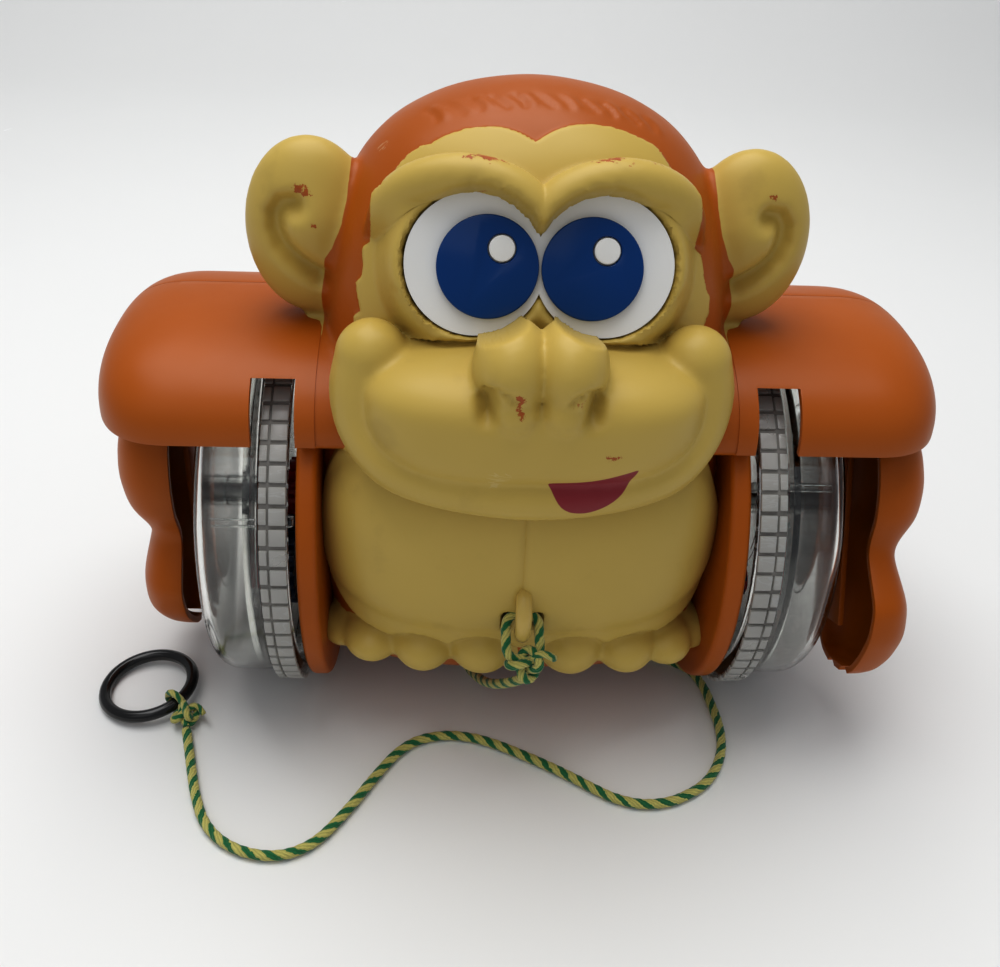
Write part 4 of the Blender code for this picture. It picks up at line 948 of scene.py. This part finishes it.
def body_material():
    """Orange plastic with cream and dark pink paint, chips and scratches."""
    mat = bpy.data.materials.new("painted_body")
    mat.use_nodes = True
    tree = mat.node_tree
    make = node_maker(tree)
    shader = tree.nodes["Principled BSDF"]
    where = make("ShaderNodeTexCoord").outputs["Object"]

    def read(name):
        return make("ShaderNodeAttribute", attribute_name=name).outputs["Fac"]

    def mix(factor, a, b):
        return mix_colours(tree, factor, a, b)

    def math_node(operation, *values):
        return make("ShaderNodeMath", dict(enumerate(values)), operation=operation).outputs[0]

    def noise(scale, **settings):
        return make("ShaderNodeTexNoise", {"Vector": where, "Scale": scale, **settings}).outputs["Fac"]

    def above(value, limit, width=0.04):
        ends = {"Value": value, "From Min": limit - width, "From Max": limit + width}
        return make("ShaderNodeMapRange", ends, interpolation_type="SMOOTHSTEP").outputs[0]

    cloud = noise(22.0, Detail=4.0)
    ragged = noise(420.0, Detail=3.0)
    chips = noise(330.0, Detail=6.0, Roughness=0.7)
    small = noise(160.0, Detail=5.0, Roughness=0.8)
    base = mix(cloud, (*ORANGE_DARK, 1), (*ORANGE_LIGHT, 1))
    cream = mix(cloud, (0.490, 0.353, 0.086, 1), (0.575, 0.422, 0.114, 1))
    grimy = above(noise(60.0, Detail=8.0), 0.66, 0.06)
    cream = mix(math_node("MULTIPLY", grimy, 0.22), cream, (0.34, 0.24, 0.07, 1))
    edge = math_node("MULTIPLY_ADD", ragged, 0.3, -0.15)
    painted = above(math_node("ADD", read("cream_edge"), edge), 0.0, 0.12)
    colour = mix(painted, base, cream)
    colour = mix(above(read("tongue_edge"), 0.0, 0.12), colour, (0.24, 0.022, 0.030, 1))
    chipped = above(math_node("MULTIPLY_ADD", read("worn"), 0.36, chips), 0.79, 0.012)
    specks = above(small, 0.80, 0.01)
    lost = math_node("MULTIPLY", math_node("MAXIMUM", chipped, specks), painted)
    colour = mix(lost, colour, mix(small, (0.22, 0.055, 0.012, 1), (0.52, 0.13, 0.02, 1)))
    lines = make("ShaderNodeGroup", node_tree=SCRATCH)
    lines.inputs["Amount"].default_value = 0.03
    light = math_node("MULTIPLY", lines.outputs["Mask"], 0.22)
    colour = mix(light, colour, (0.70, 0.60, 0.36, 1))
    # painted shade: the slots beside the cord eye are painted near black for the dark inside of the hollow
    # body
    colour = mix(read("hole_shade"), colour, (0.004, 0.003, 0.002, 1))
    gloss = make("ShaderNodeGroup", node_tree=GLOSS)
    gloss.inputs["Base"].default_value = 0.40
    gloss.inputs["Spread"].default_value = 0.22
    height = math_node("MULTIPLY_ADD", lost, -0.25, math_node("MULTIPLY", gloss.outputs["Grain"], 0.02))
    bump = make("ShaderNodeBump", {"Strength": 0.6, "Distance": 0.2 * MM, "Height": height})
    tree.links.new(colour, shader.inputs["Base Color"])
    tree.links.new(gloss.outputs["Roughness"], shader.inputs["Roughness"])
    tree.links.new(bump.outputs["Normal"], shader.inputs["Normal"])
    shader.inputs["Specular IOR Level"].default_value = 0.3
    return mat


painted = body_material()

# %% [markdown]
# The real moulding is two shells that meet on a plane behind the ears. The fused form is bisected
# there twice, once for each shell, with a hair gap between them, so the seam is a real one.

# %% Front and rear shells
PART_Y = 14.0
SEAM = 0.25


def half_of(obj, name, y, keep_front):
    """One side of a form, cut and closed on a plane across Y."""
    only(obj)
    bpy.ops.object.duplicate()
    piece = named(name)
    with edit_mode(piece):
        bpy.ops.mesh.bisect(plane_co=at(0, y, 0), plane_no=(0, 1, 0), use_fill=True, clear_outer=keep_front,
                            clear_inner=not keep_front)
    return piece


front_shell = half_of(body, "front_shell_moulding", PART_Y - SEAM / 2, True)
rear_shell = half_of(body, "rear_shell_moulding", PART_Y + SEAM / 2, False)
bpy.data.objects.remove(body, do_unlink=True)
for x, z in ((-38, 118), (38, 118), (-38, 34), (38, 34)):
    cut(rear_shell, peg("screw_well", PART_Y + 12, 95, 3.0, x, z, 32))
ROLLER_Y, ROLLER_R, ROLLER_W = 54.0, 9.0, 16.0
cut(rear_shell, block("roller_pocket", (-ROLLER_W / 2 - 1.5, ROLLER_Y - ROLLER_R - 2, 0),
                      (ROLLER_W / 2 + 1.5, ROLLER_Y + ROLLER_R + 2, 2 * ROLLER_R + 2)))
lugs = []
for sign, tag in SIDES:
    lug = block("roller_lug_" + tag, (sign * 10.75 - 1.25, ROLLER_Y - 5, ROLLER_R - 4),
                (sign * 10.75 + 1.25, ROLLER_Y + 5, 26))
    shape_with(lug, "BEVEL", width=0.4 * MM, segments=2)
    lugs.append(lug)
roller_lugs = smooth(joined("roller_lugs", lugs))
show(roller_lugs, "root", orange, "shell_orange")
for shell, node in ((front_shell, "front_shell"), (rear_shell, "rear_shell")):
    smooth(shell, 50)
    show(shell, "root", painted, "shell_orange", node)
    print(shell.name, len(shell.data.polygons), "faces")

# %% [markdown]
# A shoulder is a thin hood over the drum: half a tunnel with a rounded outer end and a soft root
# where it leaves the body. It starts as a ball whose poles lie along X. The inner half is drawn
# out into a tunnel, the lower half is cut away, and Solidify gives the wall.

# %% Shoulder hoods
HOOD_FLAT, HOOD_END, HOOD_START = 95.0, 122.0, 57.0
HOOD_WALL = 2.0
HOOD_ROOT_CUT = 0.6        # trims the closed inner pole of the ball
NOTCH_X, NOTCH_TOP = (63, 75), 121.0


def hood(sign, tag):
    """One shoulder hood with its notch for the tread and a seam on the parting plane."""
    bpy.ops.object.select_all(action="DESELECT")
    bpy.ops.mesh.primitive_uv_sphere_add(segments=96, ring_count=64, radius=MM, location=at(0, 0, 0),
                                         rotation=(0, math.pi / 2, 0))
    obj = settle(named("shoulder_" + tag))
    co = places(obj)
    t = np.clip(co[:, 0], -1, 1)
    round_part = np.maximum(t, 0)
    along = HOOD_FLAT + np.where(t > 0, HOOD_END - HOOD_FLAT, HOOD_FLAT - HOOD_START) * t
    scale = (1 - round_part ** 2.7) ** (1 / 2.7)
    angle = np.arctan2(co[:, 2], co[:, 1])
    power = 2 / 2.35
    ring_y = np.sign(np.cos(angle)) * np.abs(np.cos(angle)) ** power
    ring_z = np.sign(np.sin(angle)) * np.abs(np.sin(angle)) ** power
    co[:, 0] = sign * along
    co[:, 1] = ring_y * HOOD_A * scale
    co[:, 2] = HOOD_Z + ring_z * HOOD_B * scale
    put_places(obj, co)
    weld(obj)
    with edit_mode(obj):
        bpy.ops.mesh.bisect(plane_co=at(0, 0, HOOD_Z), plane_no=(0, 0, 1), clear_inner=True)
        bpy.ops.mesh.select_all(action="SELECT")
        bpy.ops.mesh.bisect(plane_co=at(sign * (HOOD_START + HOOD_ROOT_CUT), 0, 0), plane_no=(sign, 0, 0),
                            clear_inner=True)
    shape_with(obj, "SOLIDIFY", thickness=HOOD_WALL * MM, offset=-1, use_rim=True)
    cut(obj, block("notch", (sign * NOTCH_X[0], -70, 90), (sign * NOTCH_X[1], -20, NOTCH_TOP)))
    cut(obj, block("seam", (sign * 50, PART_Y - SEAM / 2, 90), (sign * 130, PART_Y + SEAM / 2, 140)))
    shape_with(obj, "BEVEL", width=0.45 * MM, segments=2, angle_limit=math.radians(50))
    return smooth(obj, 40)


for sign, tag in SIDES:
    piece = hood(sign, tag)
    for name, value in (("cream_edge", -4), ("tongue_edge", -4), ("worn", 0), ("hole_shade", 0)):
        store(piece, name, np.full(len(piece.data.vertices), float(value)))
    show(piece, "root", painted, "shell_orange")
    print(piece.name, len(piece.data.polygons), "faces")

# %% [markdown]
# Beside each drum the body ends in a thin round wall that hides the gears from the front. It is a
# disc with a rounded edge, cut by the same parting plane.

# %% Side walls and cord eye
WALL_X, WALL_R = (57.5, 63.4), 58.4
for sign, tag in SIDES:
    wall = disc("side_wall_" + tag, sign * WALL_X[0], sign * WALL_X[1], WALL_R, segments=128)
    shape_with(wall, "BEVEL", width=1.6 * MM, segments=5, angle_limit=math.radians(40))
    cut(wall, block("seam", (sign * 50, PART_Y - SEAM / 2, -5), (sign * 70, PART_Y + SEAM / 2, 125)))
    show(smooth(wall, 40), "root", orange, "shell_orange")

EYE_LOOP = [(0, -54, 68.5, 2.0), (0, -58.5, 69.8, 2.1), (0, -63.3, 68.8, 2.3), (0, -66, 65.3, 2.4),
            (0, -66.6, 61.5, 2.3), (0, -65.4, 57.6, 2.2), (0, -61.5, 55, 2.1), (0, -56, 54.6, 2.0)]
cream = finish("cream_paint", (0.540, 0.385, 0.100), (0.630, 0.460, 0.130), 0.30, 0.2, 0.2,
               (0.45, 0.13, 0.03))
cord_eye = rolled("cord_eye", EYE_LOOP, 48)
shape_with(cord_eye, "REMESH", mode="VOXEL", voxel_size=0.35 * MM)
shape_with(cord_eye, "SMOOTH", factor=0.5, iterations=6)
only(cord_eye)
bpy.ops.object.shade_smooth()
show(cord_eye, "root", cream, "shell_orange")

# %% [markdown]
# The eyes are one white plate in the shape of two joined discs, with two blue discs on it. Small
# white studs of the plate come through holes in the blue discs as highlights. The edges are
# bevelled, because a moulded disc always has a small radius that catches the light.

# %% Eyes
IRIS_R, IRIS_DX, IRIS_T = 12.6, 12.9, 1.6
STUD_X, STUD_Z, STUD_R = 3.4, 3.9, 3.2
eye_frame = Matrix.Translation(at(*EYE_C)) @ Matrix.Rotation(-EYE_TILT, 4, "X")


def eye_disc(name, x, z, y0, y1, radius, segments=96):
    """A disc on the eye plane, between depths y0 and y1 in front of and behind it."""
    bpy.ops.object.select_all(action="DESELECT")
    bpy.ops.mesh.primitive_cylinder_add(vertices=segments, radius=radius * MM, depth=abs(y1 - y0) * MM)
    obj = named(name)
    obj.matrix_world = (eye_frame @ Matrix.Translation(Vector((x, (y0 + y1) / 2, z)) * MM)
                        @ Matrix.Rotation(math.pi / 2, 4, "X"))
    return settle(obj)


plate = eye_disc("eye_plate_white", -EYE_DX, 0, -0.4, EYE_T - 0.3, EYE_R)
other = eye_disc("eye_disc_right", EYE_DX, 0, -0.4, EYE_T - 0.3, EYE_R)
shape_with(plate, "BOOLEAN", operation="UNION", solver="EXACT", object=other)
bpy.data.objects.remove(other, do_unlink=True)
shape_with(plate, "BEVEL", width=0.5 * MM, segments=3, angle_limit=math.radians(50))
studs = []
for sign, tag in SIDES:
    stud = eye_disc("highlight_" + tag, sign * IRIS_DX + STUD_X, STUD_Z, -2.75, 0.5, STUD_R, 48)
    shape_with(stud, "BEVEL", width=0.35 * MM, segments=3, angle_limit=math.radians(50))
    studs.append(stud)
plate = joined("eye_plate_white", [plate, *studs])
show(smooth(plate, 40), "root", white, "eye_white", "eye_plate")
for sign, tag in SIDES:
    iris = eye_disc("iris_disc_" + tag, sign * IRIS_DX, -0.6, -0.7 - IRIS_T, -0.7, IRIS_R)
    cut(iris, eye_disc("hole", sign * IRIS_DX + STUD_X, STUD_Z, -9, 9, STUD_R + 0.3, 48))
    shape_with(iris, "BEVEL", width=0.45 * MM, segments=3, angle_limit=math.radians(50))
    show(smooth(iris, 40), "root", blue, "iris_blue", "iris_" + tag)
print("eyes made")

# %% [markdown]
# Each wheel is a clear cup: a drum with a rounded outer end and a tread ring towards the body.
# A section line spun round the axle gives the cup. Its tread is made once as a pair of blocks,
# a wide one and a narrow one, and copied round the rim.

# %% Drums
DRUM_R, RIM_IN, RIM_W, DRUM_END, DRUM_WALL = 57.0, 65.6, 7.5, 92.5, 2.0
AXLE_R, HUB_R, RUN, CORNER, LID_X = 2.5, 5.0, 0.3, 7.0, (76, 78)
TREAD_BLOCKS, TREAD_SHARE, TREAD_DEPTH, WIDE_BLOCK, TREAD_GROOVE = 64, 0.80, 1.6, 4.7, 0.6
MARK_ANGLE = {-1: math.radians(154), 1: math.radians(141.8)}


def spun(name, section, sign, steps=128):
    """A closed section of (x, r) points spun round the axle."""
    count = len(section)
    obj = mesh_from(name, [(sign * x, 0, WHEEL_R + r) for x, r in section], [])
    obj.data.edges.add(count)
    obj.data.edges.foreach_set("vertices", [v for i in range(count) for v in (i, (i + 1) % count)])
    obj.data.update()
    with edit_mode(obj):
        bpy.ops.mesh.spin(steps=steps, angle=2 * math.pi, center=at(0, 0, WHEEL_R), axis=(1, 0, 0))
    return weld(obj, 0.02 * MM)


def corner(x, r, radius, start, end, count=8):
    """Points on a rounded corner of a section."""
    return [(x + radius * math.sin(a), r + radius * math.cos(a)) for a in np.linspace(start, end, count)]


for sign, tag in SIDES:
    outer_end = DRUM_END - CORNER
    section = [(RIM_IN, WHEEL_R - 1.2), (RIM_IN + RIM_W, WHEEL_R - 1.2), (RIM_IN + RIM_W + 0.5, DRUM_R + 0.5),
               (RIM_IN + RIM_W + 1.6, DRUM_R)]
    section += corner(outer_end, DRUM_R - CORNER, CORNER, 0, math.pi / 2)
    section += [(DRUM_END, 31), (DRUM_END - 0.7, 30.4), (DRUM_END - 0.7, AXLE_R + RUN)]
    section += [(72.6, AXLE_R + RUN), (72.6, HUB_R), (DRUM_END - DRUM_WALL, HUB_R)]
    section += corner(outer_end, DRUM_R - CORNER, CORNER - DRUM_WALL, math.pi / 2, 0)
    section += [(RIM_IN, DRUM_R - DRUM_WALL)]
    drum = spun("drum_cup_" + tag, section, sign)
    ridges = []
    for side_step in (-0.9, 0.9):
        ridge = block("ridge", (sign * (RIM_IN + RIM_W + 1), -0.35 + side_step, WHEEL_R + DRUM_R - 0.3),
                      (sign * (DRUM_END - 6), 0.35 + side_step, WHEEL_R + DRUM_R + 0.45))
        ridges.append(ridge)
    nib = block("nib", (sign * (RIM_IN - 1.2), -1.4, WHEEL_R + DRUM_R - 4.5),
                (sign * (RIM_IN + 0.6), 1.4, WHEEL_R + DRUM_R - 1))
    marks = joined("marks", ridges + [nib])
    shape_with(marks, "BEVEL", width=0.15 * MM, segments=1)
    put_places(marks, turned_about(places(marks), MARK_ANGLE[sign] - math.pi / 2, WHEEL_R))
    drum = joined("drum_cup_" + tag, [drum, marks])
    show(smooth(drum, 30), "wheel_" + tag, clear, "clear_plastic", "drum_" + tag)

    pitch = 2 * math.pi / TREAD_BLOCKS
    half = WHEEL_R * pitch / 2 * TREAD_SHARE
    root, top = 2 * WHEEL_R - TREAD_DEPTH, 2 * WHEEL_R
    wide = block("wide_block", (sign * RIM_IN, -half, root), (sign * (RIM_IN + WIDE_BLOCK), half, top))
    slim = block("slim_block", (sign * (RIM_IN + WIDE_BLOCK + TREAD_GROOVE), -half * 0.93, root),
                 (sign * (RIM_IN + RIM_W), half * 0.93, top - 0.15))
    pair = joined("tread_pair", [wide, slim])
    shape_with(pair, "BEVEL", width=0.28 * MM, segments=2)
    start = places(pair)
    blocks = []
    for k in range(TREAD_BLOCKS):
        only(pair)
        bpy.ops.object.duplicate()
        one = bpy.context.object
        put_places(one, turned_about(start, k * pitch, WHEEL_R))
        blocks.append(one)
    bpy.data.objects.remove(pair, do_unlink=True)
    tread = joined("tread_blocks_" + tag, blocks)
    show(smooth(tread, 30), "wheel_" + tag, tread_clear, "clear_plastic")
    # a dark band under the tread blocks that shows at the bottom of the grooves
    low, high = RIM_IN + 0.1, RIM_IN + RIM_W - 0.1
    band = spun("tread_groove_band_" + tag, [(low, WHEEL_R - 0.75), (high, WHEEL_R - 0.75), (high, WHEEL_R - 1.15),
                                       (low, WHEEL_R - 1.15)], sign)
    show(smooth(band, 30), "wheel_" + tag, groove_band_finish, "clear_plastic")
    brim = DRUM_R - DRUM_WALL - RUN
    inner, outer = LID_X
    lid = [(inner, brim), ((inner + outer) / 2, brim + 0.2), (outer, brim), (outer, 22), (outer + 0.4, 21.5),
           (outer + 0.4, 20), (outer, 19.5), (outer, HUB_R + RUN), (inner, HUB_R + RUN)]
    cover = spun("drum_lid_" + tag, lid, sign)
    show(smooth(cover, 30), "wheel_" + tag, clear, "clear_plastic", "drum_cover_" + tag)
    print(drum.name, len(drum.data.polygons), "tread", len(tread.data.polygons))

# %% [markdown]
# An arm hangs inside its shoulder as a half-open channel: upper arm, narrow wrist and a mitten
# hand whose fingers show as scallops. Level half-rings of its outer surface are bridged to a
# skin, Solidify gives the wall, and the finger notches are cut out.

# %% Arms
ARM_PIVOT_Z, ARM_EDGE, ARM_WALL = 112.0, 103.5, 2.0
ARM_REST_DEG = {-1: 3.0, 1: 27.0}
# Rows of drop below the pin, reach to the front, reach to the rear and bulge
ARM_SECTIONS = [
    (-5.5, 4, 4, 6.5), (-3, 8, 8, 8.5), (3, 11, 11, 10.5), (9, 13, 13, 11.5), (14, 16, 15, 13),
    (20, 20, 17, 16), (26, 23, 19, 18.5), (36, 25, 20, 19.5), (46, 24, 19, 18), (53, 20, 17, 13.5),
    (57, 19, 17, 11.5), (62, 22, 18, 12.8), (72, 28, 20, 15.5), (82, 25, 20, 16), (90, 18, 19, 14),
    (95, 12, 15, 11), (97.5, 6, 8, 6.5),
]
ARM_AROUND = 40


for sign, tag in SIDES:
    rows = eased(ARM_SECTIONS, 90, 6)
    points, faces = [], []
    for drop, fore, rear, bulge in rows:
        for k in range(ARM_AROUND + 1):
            a = math.pi * k / ARM_AROUND
            y = -math.copysign(abs(math.cos(a)) ** 0.8, math.cos(a)) * (fore if a < math.pi / 2 else rear)
            points.append((ARM_EDGE + abs(math.sin(a)) ** 0.7 * bulge, y, ARM_PIVOT_Z - drop))
    width = ARM_AROUND + 1
    for i in range(len(rows) - 1):
        faces += [(i * width + k, i * width + k + 1, (i + 1) * width + k + 1, (i + 1) * width + k)
                  for k in range(ARM_AROUND)]
    faces.append(list(range(width)))
    faces.append([(len(rows) - 1) * width + k for k in range(width)])
    arm = mesh_from("arm_channel_" + tag, points, faces)
    weld(arm)
    only(arm)
    area = arm.data.polygons[len(arm.data.polygons) // 2]
    shape_with(arm, "SOLIDIFY", thickness=ARM_WALL * MM, offset=-1 if area.normal.x > 0 else 1, use_rim=True)
    weld(arm)
    for y, drop, radius in ((-5, 99.5, 4.2), (6, 99.0, 3.2)):
        cut(arm, disc("finger_gap", 95, 125, radius, y, ARM_PIVOT_Z - drop, 32))
    hub = disc("hub", ARM_EDGE - 0.4, ARM_EDGE + 9, 4.6, 0, ARM_PIVOT_Z, 48)
    web = block("web", (ARM_EDGE, 2, ARM_PIVOT_Z - 84), (ARM_EDGE + 1.8, 17, ARM_PIVOT_Z - 8))
    shape_with(hub, "BEVEL", width=0.4 * MM, segments=2, angle_limit=math.radians(50))
    cut(hub, disc("bore", ARM_EDGE - 5, ARM_EDGE + 12, 2.3, 0, ARM_PIVOT_Z, 32))
    shape_with(web, "BEVEL", width=0.4 * MM, segments=2)
    shape_with(arm, "BEVEL", width=0.4 * MM, segments=2, angle_limit=math.radians(50))
    arm = joined("arm_channel_" + tag, [arm, hub, web])
    co = turned_about(places(arm), -math.radians(ARM_REST_DEG[sign]), ARM_PIVOT_Z)
    if sign < 0:
        co[:, 0] *= -1
    put_places(arm, co)
    if sign < 0:
        with edit_mode(arm):
            bpy.ops.mesh.flip_normals()
    show(smooth(arm, 40), "arm_" + tag, orange, "shell_orange", "arm_" + tag)
    print(arm.name, len(arm.data.polygons), "faces")

# %% [markdown]
# The mechanism keeps its CAD shapes, which are the real ones: gears, cams, cranks, studs, pins,
# springs, caps, the roller and the screws. Each gets the finish of its own plastic or metal.

# %% Finishes of the mechanism
KEPT = {"drive_gear": red, "cam": red, "idler_gear": navy, "crank": orange, "axle_cap": steel,
        "axle_spring": steel, "idler_stud": steel, "arm_pin": steel}
kept = {name + "_" + tag: mat for sign, tag in SIDES for name, mat in KEPT.items()}
kept.update({"body_screw_%d" % number: steel for number in range(1, 5)})
kept.update({"main_axle": steel, "roller_pin": steel, "rear_roller": rubber})
for name, mat in kept.items():
    nodes[name].data.materials.clear()
    nodes[name].data.materials.append(mat)
floor_paper = finish("floor_paper", (0.76, 0.76, 0.745), (0.80, 0.80, 0.785), 0.75, 0.1, 0.0, scale=3.0,
                     grain=0.01)
floor.data.materials.append(floor_paper)
